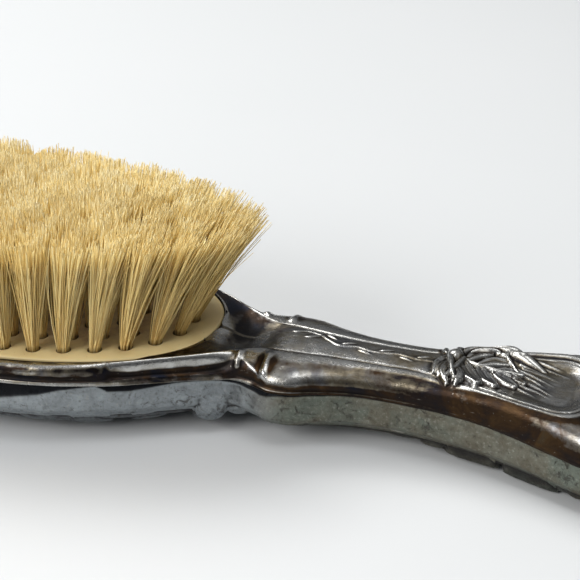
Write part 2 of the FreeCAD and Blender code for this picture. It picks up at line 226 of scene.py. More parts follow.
# rows that tie the seam C, the crest K and the inner line I together; the left
# half of the head comes from superellipses, the rest from this table
ROWS_T = np.array([
    # Cx    Cy    Kx    Ky    Kz    Ix    Jx
    (-40.8, 28.4, -40.8, 26.4, 17.3, -40.8, -40.8),
    (-30.0, 27.9, -30.2, 25.9, 17.3, -30.3, -31.0),
    (-20.0, 26.8, -20.4, 24.95, 17.3, -20.7, -22.0),
    (-10.0, 25.0, -10.6, 23.15, 17.3, -11.2, -13.0),
    (-3.0, 22.5, -4.0, 21.0, 17.3, -4.8, -6.5),
    (3.0, 19.8, 1.9, 18.5, 17.3, 0.8, -0.5),
    (9.0, 16.5, 7.9, 15.3, 17.3, 6.4, 6.0),
    (14.0, 13.8, 13.4, 12.2, 17.3, 11.0, 12.0),
    (18.5, 11.6, 18.2, 9.2, 17.25, 13.6, 17.5),
    (22.0, 10.7, 21.8, 7.1, 17.2, 14.6, 22.0),
    (25.3, 11.4, 25.3, 5.5, 17.2, 22.0, 25.3),
    (29.0, 12.9, 29.0, 5.3, 17.1, 28.0, 29.0),
    (32.5, 12.8, 32.5, 5.0, 17.0, 32.2, 32.5),
    (37.0, 11.0, 37.0, 4.5, 16.9, 37.0, 37.0),
    (43.0, 9.1, 43.0, 4.1, 16.7, 43.0, 43.0),
    (50.0, 8.2, 50.0, 4.0, 16.6, 50.0, 50.0),
    (57.0, 8.3, 57.0, 4.3, 16.5, 57.0, 57.0),
    (60.0, 8.5, 60.0, 5.3, 16.45, 60.0, 60.0),
    (63.0, 8.9, 63.0, 6.3, 16.4, 63.0, 63.0),
    (69.0, 9.9, 69.0, 7.7, 16.4, 69.0, 69.0),
    (76.0, 12.0, 75.6, 9.3, 16.4, 75.0, 75.5),
    (83.0, 14.6, 81.2, 10.3, 16.3, 79.5, 81.0),
    (89.0, 16.6, 85.2, 10.2, 16.2, 82.5, 85.0),
    (95.0, 17.0, 88.4, 8.9, 16.0, 84.6, 88.0),
    (100.0, 14.8, 90.6, 6.7, 15.9, 86.2, 90.0),
    (103.6, 10.2, 92.0, 4.2, 15.8, 87.3, 91.6),
    (105.1, 5.4, 92.6, 2.0, 15.8, 87.8, 92.4),
    (105.6, 0.0, 92.8, 0.0, 15.8, 88.0, 92.8),
])


def plate_y(x, grow=0.0):
    a, b = PA + grow, PB + grow
    u = np.clip(np.abs((x - CX) / a), 0, 1)
    return b * (1 - u ** PN) ** (1 / PN)


def plan_rows():
    """Dense rows of (C, K, I, J) from the left end of the head to the handle end, near side as +y here."""
    th = np.linspace(math.pi, math.pi / 2, 60)[:-1]
    cx, cy = super_outline(th, 60.2, 28.4, 2.42)
    kx, ky = super_outline(th, 57.3, 26.4, 2.38)
    ix, iy = super_outline(th, PA + 0.15, PB + 0.15, PN)
    left = np.stack([cx, cy, kx, ky, np.full_like(cx, 17.3), ix, iy, CX + (cx - CX) * 0.86], -1)
    t = ROWS_T
    L = np.concatenate([[0], np.cumsum(np.hypot(np.diff(t[:, 0]), np.diff(t[:, 1])))])
    q = np.linspace(0, L[-1], 900)
    col = [hermite(q, L, t[:, k]) for k in range(7)]
    ix = np.minimum(col[5], 200)
    iy = np.where(ix < CX + PA + 0.15, plate_y(ix, 0.15), 0.0)
    right = np.stack([col[0], col[1], col[2], col[3], col[4], ix, iy, col[6]], -1)
    r = np.concatenate([left, right])
    r[:, 1] = np.maximum(r[:, 1], 0); r[:, 3] = np.maximum(r[:, 3], 0)
    r[0, [1, 3, 6]] = 0.0
    r[-1, [1, 3, 6]] = 0.0
    return r


DENSE = plan_rows()


def sample_rows(spacing):
    """Picks rows by arc length of C with a spacing that depends on x."""
    d = DENSE
    L = np.concatenate([[0], np.cumsum(np.hypot(np.diff(d[:, 0]), np.diff(d[:, 1])))])
    xs = [0.0]
    while xs[-1] < L[-1]:
        x = np.interp(xs[-1], L, d[:, 0])
        xs.append(xs[-1] + np.interp(x, *spacing))
    q = np.array(xs); q = q * (L[-1] / q[-1])
    # the row where the inner line reaches the tip of the plate is kept exact
    tip = np.argmax(d[:, 5] >= CX + PA + 0.15)
    k = np.argmin(np.abs(q - L[tip])); q[k] = L[tip] + 1e-6
    out = np.stack([np.interp(q, L, d[:, i]) for i in range(d.shape[1])], -1)
    head = out[:, 5] < CX + PA + 0.149
    out[~head, 6] = 0.0
    return out, head


def resample(ctrl, n, power=1.0):
    c = np.asarray(ctrl, float)
    L = np.concatenate([[0], np.cumsum(np.hypot(*np.diff(c, axis=0).T))])
    t = np.linspace(0, 1, n) ** power * L[-1]
    return np.stack([hermite(t, L, c[:, 0]), hermite(t, L, c[:, 1])], -1)


# ------------------------------------------------- cross sections, lip to crest
NA = 38
BEAD = resample([(0.55, -0.16), (0.82, -0.20), (1.0, -0.19), (1.07, -0.09), (1.04, 0.02), (0.92, 0.08),
                 (0.80, 0.14), (0.79, 0.24), (0.88, 0.40), (0.87, 0.60), (0.72, 0.80), (0.44, 0.95),
                 (0.18, 1.0), (0, 1.0)], NA)
OGEE = resample([(0.55, -0.16), (0.82, -0.20), (1.0, -0.19), (1.06, -0.09), (1.04, 0.03), (0.93, 0.12),
                 (0.78, 0.17), (0.64, 0.21), (0.54, 0.30), (0.49, 0.44), (0.46, 0.60), (0.38, 0.80),
                 (0.22, 0.95), (0.08, 1.0), (0, 1.0)], NA)
BAND = resample([(0.7, -0.14), (0.88, -0.17), (1.0, -0.16), (1.05, -0.08), (1.03, 0.01), (0.985, 0.06),
                 (0.965, 0.12), (0.965, 0.24), (0.93, 0.44), (0.83, 0.66), (0.66, 0.83), (0.44, 0.94),
                 (0.20, 0.99), (0, 1.0)], NA)


BOWL = np.array([(61.5, 4.6), (66.0, 5.9), (70.0, 7.1), (74.0, 8.4), (78.6, 9.4), (81.4, 9.9), (83.8, 9.5), (85.6, 8.3),
                 (87.0, 6.3), (87.9, 3.4), (88.2, 0.0)])
BOWL = np.stack([hermite(np.linspace(0, 10, 60), np.arange(11.0), BOWL[:, 0]),
                 hermite(np.linspace(0, 10, 60), np.arange(11.0), BOWL[:, 1])], -1)


def bowl_dist(x, y):
    """Distance to the teardrop outline and whether the point is inside it."""
    sh = x.shape
    ay = np.abs(y)
    d = np.full(x.size, 99.0)
    m = (x.ravel() > 55) & (x.ravel() < 95)
    if m.any():
        d[m] = seg_dist(x.ravel()[m], ay.ravel()[m], BOWL)[0]
    w = np.interp(x, BOWL[:, 0], BOWL[:, 1], left=0, right=0)
    return d.reshape(sh), (ay < w) & (x > 61.5)


def frame_height_inner(x, y, hc, zc, head_t, is_head):
    """Height of the frame's face between the two crests."""
    ay = np.abs(y)
    r = np.clip(ay / np.maximum(hc, 1e-3), 0, 1)
    # throat of the neck: hollow from the plate to the knuckle
    sag = np.interp(x, [0, 8, 13, 18, 22, 25, 27.5, 30], [0.5, 0.9, 1.15, 1.45, 1.2, 0.6, 0.15, -0.1])
    z = zc - sag * (1 - r ** 2.2)
    # handle panel, gently crowned
    pan = smooth(26, 30, x) * (1 - smooth(56, 60, x))
    z = z + 0.22 * pan * (1 - r ** 2)
    # teardrop bowl, inside its own closed outline
    d, inside = bowl_dist(x, y)
    deep = np.interp(x, [60, 66, 72, 79, 84, 88], [0.15, 0.45, 0.95, 1.35, 1.30, 0.7])
    z = z - np.where(inside, deep * smooth(0, 4.4, d), 0)
    return z


def leaf_relief(x, y):
    """The worked decoration on the handle front, as a height added to the surface."""
    h = np.zeros_like(x)

    def up(v):
        nonlocal h
        h = np.maximum(h, v)

    near = (x > 24) & (x < 94)

    def petal(p, w, hh, vein=0.18, blunt=0.55):
        pts = curve_pts(p, 14)
        d, t, _ = seg_dist(x, y, pts)
        wt = w * np.clip(np.sin(np.pi * np.clip(0.14 + 0.80 * t, 0, 1)), 0, 1) ** blunt
        q = np.clip(d / np.maximum(wt, 1e-3), 0, 1)
        up(np.where(q < 1, hh * np.sqrt(1 - q * q) * (0.75 + 0.25 * np.sin(np.pi * t)) - vein * np.exp(-(d / 0.16) ** 2) * np.sin(np.pi * t), 0))

    def lobe(p, w, hh):
        """Rounded leaf lobe: turned-up edge, hollow field, fine rib."""
        pts = curve_pts(p, 14)
        d, t, _ = seg_dist(x, y, pts)
        wt = w * np.clip(np.sin(np.pi * np.clip(0.10 + 0.76 * t, 0, 1)), 0, 1) ** 0.6
        q = np.clip(d / np.maximum(wt, 1e-3), 0, 1)
        f = hh * (0.80 * (1 - q ** 4) + 0.22 * np.exp(-((q - 0.70) / 0.20) ** 2) - 0.16 * np.exp(-(d / 0.15) ** 2) * (1 - 0.6 * t))
        up(np.where(q < 1, f, 0))
    # bound stalk: crossing strands and small petals that hang from them
    petal([(60.2, 3.2), (58.7, 0.9), (58.3, -3.6)], 0.80, 0.80)
    petal([(60.0, 0.8), (59.2, -2.0), (59.4, -4.6)], 0.75, 0.90)
    petal([(60.2, 0.4), (60.1, -3.6), (61.4, -6.6)], 1.00, 1.15)
    petal([(61.5, 0.0), (63.2, -2.8), (63.0, -6.3)], 1.10, 1.20)
    petal([(60.0, 3.8), (60.9, 0.0), (62.3, -4.6)], 0.80, 1.60, 0.1, 0.4)
    petal([(62.9, 2.8), (62.1, -0.8), (61.0, -4.4)], 0.75, 1.45, 0.1, 0.4)
    petal([(60.6, 3.0), (59.2, 4.6), (58.8, 6.4)], 0.8, 0.8)
    petal([(61.6, 4.2), (61.4, 5.8), (61.9, 7.0)], 1.0, 1.1)
    up(1.75 * np.sqrt(np.clip(1 - ((x - 61.2) / 1.75) ** 2 - ((y - 3.3) / 2.0) ** 2, 0, 1)))
    # leaf with round lobes
    lobe([(62.8, 1.8), (64.6, -1.8), (66.6, -4.4)], 1.95, 1.00)
    lobe([(66.2, 0.9), (67.9, -1.9), (69.8, -4.0)], 1.70, 0.92)
    lobe([(69.0, 0.6), (71.0, -0.9), (73.2, -2.3)], 1.40, 0.80)
    lobe([(70.4, 0.9), (72.4, 0.3), (74.8, -0.9)], 0.95, 0.75)
    lobe([(63.6, 3.0), (65.0, 5.2), (67.4, 6.4)], 1.35, 0.90)
    lobe([(66.2, 2.4), (68.4, 4.0), (71.0, 4.4)], 1.30, 0.90)
    lobe([(69.2, 1.6), (71.4, 2.4), (74.0, 2.0)], 0.95, 0.80)
    spine = curve_pts([(63.0, 2.3), (65.5, 1.7), (68.3, 1.2), (71.0, 0.7), (73.6, -0.3)], 20)
    up(ridge(x, y, spine, 0.42, 1.15, 0.4))
    # rolled arch over the leaf, with a thinner one inside it
    inner_arch = curve_pts([(63.6, 3.4), (63.8, 5.3), (65.4, 6.8), (67.8, 7.1), (70.0, 6.2), (72.0, 4.0), (73.4, 2.0)], 30)
    up(ridge(x, y, inner_arch, 0.55, 1.05, 0.45))
    hood = curve_pts([(62.2, 4.4), (62.9, 6.5), (64.7, 7.9), (67.0, 8.6), (69.6, 8.6), (72.2, 7.8), (75.2, 6.4), (78.0, 5.2)], 36)
    d, t, _ = seg_dist(x, y, hood)
    w = 1.25 * np.clip(np.sin(np.pi * np.clip(0.08 + 0.90 * t, 0, 1)), 0, 1) ** 0.5
    q = np.clip(d / np.maximum(w, 1e-3), 0, 1)
    up(np.where(q < 1, 1.55 * np.sin(np.pi * np.clip(0.10 + 0.88 * t, 0, 1)) ** 0.8 * np.sqrt(1 - q * q), 0))
    # fine striations that run from the leaf into the bowl
    for p, hh in [([(72.6, 1.7), (74.7, 0.1), (77.4, -1.0), (80.6, -2.8)], 0.40), ([(72.8, -1.0), (74.9, -1.8), (77.6, -2.5), (80.0, -3.8)], 0.36),
                  ([(72.7, 4.0), (76.0, 2.8), (80.4, 0.6)], 0.30), ([(73.3, 6.6), (76.3, 6.2), (80.0, 5.5), (83.2, 4.2)], 0.26),
                  ([(73.4, 5.4), (76.6, 4.6), (80.6, 3.2)], 0.26), ([(72.5, 2.8), (76.0, 1.4), (79.8, -0.9)], 0.26),
                  ([(72.9, -2.2), (75.0, -3.2), (77.6, -4.4)], 0.28), ([(74.4, 7.3), (78.0, 7.0), (82.0, 6.2)], 0.22),
                  ([(73.6, 0.4), (76.4, -0.6), (79.0, -1.9)], 0.20), ([(74.0, 4.6), (78.0, 3.8), (81.4, 2.4)], 0.18)]:
        pts = curve_pts(p, 18)
        d, t, _ = seg_dist(x, y, pts)
        w = 0.44 * (1 - 0.5 * t)
        q = np.clip(d / w, 0, 1)
        up(np.where(q < 1, hh * (1 - t ** 2) * (1 - q * q) ** 1.2, 0))
    # ribbon tendril on the panel
    wav = curve_pts([(29.5, 2.6), (32.0, 3.5), (34.6, 3.1), (36.6, 1.6), (39.0, 0.3), (42.5, 0.8), (46.5, 0.1),
                     (50.5, 0.7), (54.5, 0.1), (58.2, 0.4)], 60)
    up(ridge(x, y, wav, 0.42, 0.15, 0.2))
    for cx_, cy_, an, ln in [(33.6, 1.9, 0.5, 1.7), (36.9, 3.0, -0.6, 1.5), (40.9, 1.6, 0.35, 1.5), (44.4, -0.7, -0.35, 1.5),
                             (48.4, 1.3, 0.35, 1.4), (52.4, -0.6, -0.35, 1.4), (55.6, 1.2, 0.35, 1.3)]:
        dx, dy = x - cx_, y - cy_
        u = dx * math.cos(an) + dy * math.sin(an); v = -dx * math.sin(an) + dy * math.cos(an)
        q = (u / ln) ** 2 + (v / (0.42 * (1 - 0.35 * np.clip(u / ln, -1, 1)))) ** 2
        up(np.where(q < 1, 0.19 * np.sqrt(np.clip(1 - q, 0, 1)), 0))
    return np.where(near, h, 0)


def groove_relief(x, y, hc):
    """Cut lines that follow the crests of the handle."""
    ay = np.abs(y)
    d = ay - hc
    g = -0.34 * np.exp(-((d + 0.28) / 0.17) ** 2) * smooth(25.5, 29, x) * (1 - smooth(57.0, 59.5, x))
    bd, inside = bowl_dist(x, y)
    sd = np.where(inside, -bd, bd)
    on = smooth(62.5, 66, x)
    g += -0.42 * np.exp(-((sd + 0.15) / 0.30) ** 2) * on
    g += 0.30 * np.exp(-((sd - 0.95) / 0.60) ** 2) * on
    g += -0.14 * np.exp(-((sd + 1.2) / 0.16) ** 2) * smooth(70, 73, x)
    return g


NI = 44


def frame_grid(side, rows, head):
    S = len(rows)
    C, Cy, K, Ky, Kz, I, Iy = rows[:, 0], rows[:, 1], rows[:, 2], rows[:, 3], rows[:, 4], rows[:, 5], rows[:, 6]
    zs = st(C, 2)
    # blend of the three cross sections along the brush
    wb = 1 - smooth(-3.6, 3.4, C)
    wh = smooth(17.5, 23.0, C)
    wo = 1 - wb - wh
    prof = (wb[:, None, None] * BEAD + wo[:, None, None] * OGEE + wh[:, None, None] * BAND)
    fy, fz = prof[..., 0], prof[..., 1]
    # the fuller shoulder below the knuckle
    X = K[:, None] + (C - K)[:, None] * fy
    Y = Ky[:, None] + (Cy - Ky)[:, None] * fy
    Z = zs[:, None] + (Kz - zs)[:, None] * fz
    a = np.linspace(0, 1, NA)[None, :]
    # hand-worked unevenness, the tie across the bead and the two strokes of the knuckle
    body = smooth(0.22, 0.4, a) * (1 - smooth(0.93, 1.0, a))
    wob = fbm(np.stack([X.ravel() * 0.16, Y.ravel() * 0.16 + 3 * side, Z.ravel() * 0.3], -1), 3, 5).reshape(X.shape)
    amp = 0.10 * (1 - smooth(20, 26, X)) + 0.05
    push = amp * wob
    tie = -0.09 * bump(C, 0.2, 0.5) + 0.04 * bump(C, -0.9, 0.8) + 0.04 * bump(C, 1.3, 0.8)
    push = push + tie[:, None] * body * (1 - wh[:, None])
    knot = 0.50 * bump(C, 22.0, 0.60) + 0.46 * bump(C, 27.6, 0.75) + 0.10 * bump(C, 24.9, 1.6)
    push = push + knot[:, None] * smooth(0.38, 0.55, a) * (1 - smooth(0.86, 0.98, a))
    vline = np.exp(-(((X - (22.4 + 4.2 * (1 - (a - 0.45) / 0.25))) / 0.5) ** 2)) * smooth(0.42, 0.5, a) * (1 - smooth(0.64, 0.72, a))
    push = push + 0.10 * vline * (np.abs(X - 24.8) < 3.2)
    lipw = bump(a, 0.10, 0.06)
    inlip = smooth(24, 29, C)[:, None] * (1 - smooth(0.16, 0.26, a))
    X = X - 0.28 * inlip * ((C - K) / np.maximum(np.hypot(C - K, Cy - Ky), 1e-6))[:, None]
    Y = Y - 0.28 * inlip * ((Cy - Ky) / np.maximum(np.hypot(C - K, Cy - Ky), 1e-6))[:, None]
    lipn = fbm(np.stack([C * 0.35, np.full(S, 2.0 + side)], -1), 3, 9)
    Z = Z + 0.10 * lipn[:, None] * lipw
    # outward direction in plan and up
    dx, dy = C - K, Cy - Ky
    L = np.maximum(np.hypot(dx, dy), 1e-6)
    nx, ny = dx / L, dy / L
    tz = np.gradient(Z, axis=1); th = np.gradient(np.hypot(X - K[:, None], Y - Ky[:, None]), axis=1)
    nn = np.maximum(np.hypot(tz, th), 1e-9)
    oh, oz = tz / nn, -th / nn
    X = X + push * oh * nx[:, None]; Y = Y + push * oh * ny[:, None]; Z = Z + push * oz
    hc_o = np.interp(X.ravel(), DENSE[:, 2][50:], DENSE[:, 3][50:]).reshape(X.shape)
    wr = smooth(0.55, 0.92, a) * (X > 20)
    rel_o = leaf_relief(X.ravel(), (Y * side).ravel()).reshape(X.shape)
    gro_o = groove_relief(X, Y, hc_o)
    Z = Z + (rel_o * 0.9 + np.minimum(gro_o, 0.0) * 1.0 + np.maximum(gro_o, 0)) * wr
    outer = np.stack([X, Y, Z], -1)
    # inner part, crest to plate edge or centre line
    t = np.linspace(0, 1, NI + 1)[1:][None, :] ** 0.92
    xi = K[:, None] + (I - K)[:, None] * t
    yi = Ky[:, None] + (Iy - Ky)[:, None] * t
    hc_x = np.interp(xi.ravel(), DENSE[:, 2][50:], DENSE[:, 3][50:]).reshape(xi.shape)
    # teardrop closes beyond the last crest station
    zc_x = np.interp(xi, rows[:, 2], Kz)
    zin = frame_height_inner(xi, yi, hc_x, zc_x, None, None)
    drop = 0.95 * t ** 2.2
    zrim = Kz[:, None] - drop
    wt = smooth(3.0, 11.0, K)[:, None]
    zmix = zrim * (1 - wt) + zin * wt
    rel = leaf_relief(xi.ravel(), (yi * side).ravel()).reshape(xi.shape)
    gro = groove_relief(xi, yi, hc_x)
    crease = 0.06 * fbm(np.stack([xi.ravel() * 0.35, (yi * side).ravel() * 0.35], -1), 3, 21).reshape(xi.shape)
    relw = np.where(t < 0.08, 0.9 + 0.1 * t / 0.08, 1.0)
    zmix = zmix + (rel * relw + gro) * (xi > 20) + crease * wt * smooth(0, 0.15, t)
    # flush with the plate at the throat
    rho = (np.abs((xi - CX) / PA) ** PN + np.abs(yi / PB) ** PN) ** (1 / PN)
    gap = np.hypot(xi - CX, yi) * (1 - 1 / np.maximum(rho, 1e-6))
    near_t = smooth(5.0, 11.0, K)[:, None]
    flush = (smooth(2.0, 9.0, K)[:, None] * head[:, None] * smooth(0.45, 1.0, t) * (1 - near_t)
             + near_t * smooth(6.5, 0.2, gap))
    zmix = zmix * (1 - flush) + (PZ + 0.12) * flush
    inner = np.stack([xi, yi, zmix], -1)
    hem = int(NI - 3)
    hr = head.copy()
    for k, dz in ((1, 0.9), (2, 2.0), (3, 3.2)):
        j = NI - 4 + k
        inner[hr, j, 0] = I[hr]; inner[hr, j, 1] = Iy[hr]
        inner[hr, j, 2] = inner[hr, NI - 4, 2] - dz
    # ease the last samples of the head rows on to the plate edge
    for j in range(NI - 8, NI - 3):
        f = (j - (NI - 8)) / 4.0
        inner[hr, j, 0] = inner[hr, j, 0] * (1 - f) + I[hr] * f
        inner[hr, j, 1] = inner[hr, j, 1] * (1 - f) + Iy[hr] * f
    P = np.concatenate([outer, inner], 1)
    relief = np.concatenate([rel_o * wr, rel * (xi > 20)], 1)
    P[..., 1] *= side
    # attributes
    along = np.concatenate([np.broadcast_to(a, X.shape) * 1.0, 1 + np.broadcast_to(t, xi.shape)], 1)
    return P, along, relief


def grid_normals(P):
    du = np.gradient(P, axis=0); dv = np.gradient(P, axis=1)
    n = np.cross(du, dv)
    return n / np.maximum(np.linalg.norm(n, axis=-1, keepdims=True), 1e-12)


def cavity(P, N, r=2):
    """Positive in hollows, negative on ridges, from the grid itself."""
    out = np.zeros(P.shape[:2])
    for k in (1, r, 2 * r):
        avg = np.zeros_like(P)
        avg[k:-k, k:-k] = 0.25 * (P[2 * k:, k:-k] + P[:-2 * k, k:-k] + P[k:-k, 2 * k:] + P[k:-k, :-2 * k])
        m = np.zeros(P.shape[:2]); m[k:-k, k:-k] = 1
        out += m * ((avg - P) * N).sum(-1)
    c = out
    c[:, -3:] = c[:, -4:-3]          # one-sided differences at the centre line
    return c


def closed_shell(name, grids, attrs, inner_cols, thick, hem_rows):
    """Two mirrored grids (near, far) welded along y = 0, with a thin inner skin."""
    verts, faces, vals = [], [], {k: [] for k in attrs[0]}
    base = 0

    def meet(A, B):
        m = (np.abs(A[..., 1]) < 1e-6) & (np.abs(B[..., 1]) < 1e-6)
        c = 0.5 * (A + B); c[..., 1] = 0
        A[m] = c[m]; B[m] = c[m]
    meet(grids[0], grids[1])
    skins = []
    for P in grids:
        V_ = P.shape[1]
        N = grid_normals(P)
        mid = P[:, V_ // 3]
        N = N * np.sign((N[:, V_ // 3, 1] * mid[:, 1]).mean() + 1e-9)
        In = P[:, inner_cols] - N[:, inner_cols] * thick
        In[..., 1] = np.where(np.abs(P[:, inner_cols, 1]) < 1e-7, 0, In[..., 1])
        for r in hem_rows:
            In[r, -1] = P[r, -1] + np.array([0, 0, -0.05])
        In[0, :, 1] = 0; In[-1, :, 1] = 0
        skins.append(In)
    meet(skins[0], skins[1])
    for gi, P in enumerate(grids):
        S, V_ = P.shape[:2]
        In = skins[gi]
        n_in = len(inner_cols)
        verts += [P.reshape(-1, 3), In.reshape(-1, 3)]
        for k in attrs[gi]:
            a = attrs[gi][k]
            vals[k] += [a.reshape(-1), a[:, inner_cols].reshape(-1)]
        f1 = grid_faces(S, V_) + base
        b2 = base + S * V_
        f2 = grid_faces(S, n_in)[:, ::-1] + b2
        i = np.arange(S - 1)
        hem = np.stack([base + i * V_, base + (i + 1) * V_, b2 + (i + 1) * n_in, b2 + i * n_in], -1)
        fs = [f1, f2, hem]
        if len(hem_rows):
            i = np.array([r for r in hem_rows if r + 1 < S])
            fs.append(np.stack([b2 + i * n_in + n_in - 1, b2 + (i + 1) * n_in + n_in - 1,
                                base + (i + 1) * V_ + V_ - 1, base + i * V_ + V_ - 1], -1))
        faces += fs
        base += S * V_ + S * n_in
    v = np.concatenate(verts); f = np.concatenate(faces)
    v[np.abs(v[:, 1]) < 1e-6, 1] = 0.0
    # weld identical points
    key = np.round(v * 20000).astype(np.int64)
    uniq, first, inv = np.unique(key, axis=0, return_index=True, return_inverse=True)
    inv = inv.reshape(-1)
    v = v[first]; f = inv[f]
    vals = {k: np.concatenate(a)[first] for k, a in vals.items()}
    # drop collapsed faces, keep quads and triangles apart
    quads, tris = [], []
    s = np.sort(f, axis=1)
    dup = (s[:, 1:] == s[:, :-1]).sum(1)
    quads = f[dup == 0]
    for q in f[dup == 1]:
        o = []
        for k in q:
            if k not in o:
                o.append(k)
        tris.append(o)
    me = bpy.data.meshes.new(name)
    vv = (v * MM).astype(np.float32)
    nq, nt = len(quads), len(tris)
    tri = np.array(tris, np.int64).reshape(-1, 3)
    loops = np.concatenate([quads.ravel(), tri.ravel()]).astype(np.int32)
    me.vertices.add(len(vv)); me.vertices.foreach_set("co", vv.ravel())
    me.loops.add(len(loops)); me.loops.foreach_set("vertex_index", loops)
    me.polygons.add(nq + nt)
    me.polygons.foreach_set("loop_start", np.concatenate([np.arange(nq) * 4, nq * 4 + np.arange(nt) * 3]).astype(np.int32))
    me.polygons.foreach_set("loop_total", np.concatenate([np.full(nq, 4), np.full(nt, 3)]).astype(np.int32))
    me.update(calc_edges=True); me.validate()
    ob = bpy.data.objects.new(name, me)
    bpy.context.scene.collection.objects.link(ob)
    bm = bmesh.new(); bm.from_mesh(me)
    bmesh.ops.recalc_face_normals(bm, faces=bm.faces)
    loose = [e for e in bm.edges if not e.is_manifold]
    print(name, "faces", len(bm.faces), "open edges", len(loose))
    bm.to_mesh(me); bm.free()
    me.polygons.foreach_set("use_smooth", np.ones(len(me.polygons), bool))
    if len(me.vertices) == len(v):
        for k, a in vals.items():
            point_attr(ob, k, a)
    return ob


# ======================================================================= frame
FR_SP = ([-101, -60, -34, -28, -4, -2.5, 3, 4, 20, 22, 30, 34, 56, 58, 88, 92, 106],
         [1.6, 1.6, 1.2, 0.55, 0.5, 0.22, 0.22, 0.42, 0.42, 0.28, 0.3, 0.34, 0.3, 0.2, 0.22, 0.45, 0.5])
rows, head = sample_rows(FR_SP)
print("frame rows", len(rows))


def frame_attrs(P, along, relief, side):
    N = grid_normals(P)
    if (N[:, 5, 1] * P[:, 5, 1]).mean() < 0:
        N = -N
    cav = cavity(P, N)
    x = P[..., 0]; a = along
    # tone: how dark the tarnish is, before the shader's own noise; it also carries painted shade under the lip and a
    # painted highlight in the bowl
    outer = a <= 1.0
    kb = 1 - smooth(-3.0, 4.0, x)                      # bead round the head
    kh = smooth(23.5, 26.5, x)                         # handle band
    ko = 1 - kb - kh                                   # neck ogee
    bead = 0.26 + 0.84 * smooth(0.84, 0.66, a)
    ogee = 0.10 + 0.90 * smooth(0.70, 0.60, a)
    lo_b = 0.70 + 0.12 * smooth(58, 72, x)
    band = 0.34 + 0.62 * smooth(lo_b + 0.20, lo_b + 0.06, a) + 0.12 * smooth(40, 60, x)
    tone = np.where(outer, kb * bead + ko * ogee + kh * band, 0.42)
    lip = outer & (a < 0.23)
    tone = np.where(lip, kb * 0.82 + ko * 0.80 + kh * 0.98, tone)
    # painted shade: the underside of the lip, where it tucks into the seam, is made fully dark
    tone = np.where(outer & (a < 0.08), 1.0, tone)
    throat = (~outer) & (x < 25)
    deep = smooth(-6.0, 6.0, P[..., 1]) * (1 - smooth(14, 20, x)) + (1 - smooth(8, 14, x)) * 0.35
    tone = np.where(throat, 0.74 + 0.30 * np.clip(deep, 0, 1) - 0.46 * smooth(15.5, 21, x) * smooth(6, -3, P[..., 1]), tone)
    panel = (~outer) & (x >= 25) & (x < 60)
    tone = np.where(panel, 0.34 + 0.30 * (1 - smooth(26, 34, x)), tone)
    inb = (~outer) & (x >= 60)
    # painted highlight: the right end of the bowl is made lighter; the far side of the bowl is darker
    tone = np.where(inb, 0.44 + 0.16 * smooth(2, 7, P[..., 1]) - 0.10 * smooth(74, 82, x), tone)
    tone = tone + np.clip(cav, -0.25, 0.5) * np.where((~outer) & (x > 56), 0.9, 1.6)
    warm = np.where(outer & (x > 26), 0.75, np.where(throat, 0.25 + 0.5 * smooth(4, -8, P[..., 1]), 0.42))
    tone = np.where(lip & (x > 3), np.maximum(tone, 0.55 + 0.4 * kh), tone)
    wear = np.clip(-cav * 5.0, 0, 1) * np.where(outer & (a < 0.40), 1 - 0.85 * np.maximum(kh, ko * 0.7), 1.0)
    wear = wear * np.where(panel, 0.35, np.where(inb, 0.7, 1.0))
    return {"tone": np.clip(tone, 0, 1), "warm": warm, "wear": wear, "cav": np.clip(cav * np.where((~outer) & (x > 56), 2.6, 5.0), 0, 1)}


gN, aN, rN = frame_grid(-1, rows, head)
gF, aF, rF = frame_grid(+1, rows, head)
V_ALL = gN.shape[1]
cols = [0, 10, 20, 30, NA - 1, NA + 9, NA + 18, NA + 27, NA + 35, NA + NI - 5, V_ALL - 1]
face_frame = closed_shell("face_frame_visual", [gN, gF],
                          [frame_attrs(gN, aN, rN, -1), frame_attrs(gF, aF, rF, 1)],
                          cols, 0.55, list(np.nonzero(head)[0]))


# ================================================================== back shell
NW, NU = 44, 62


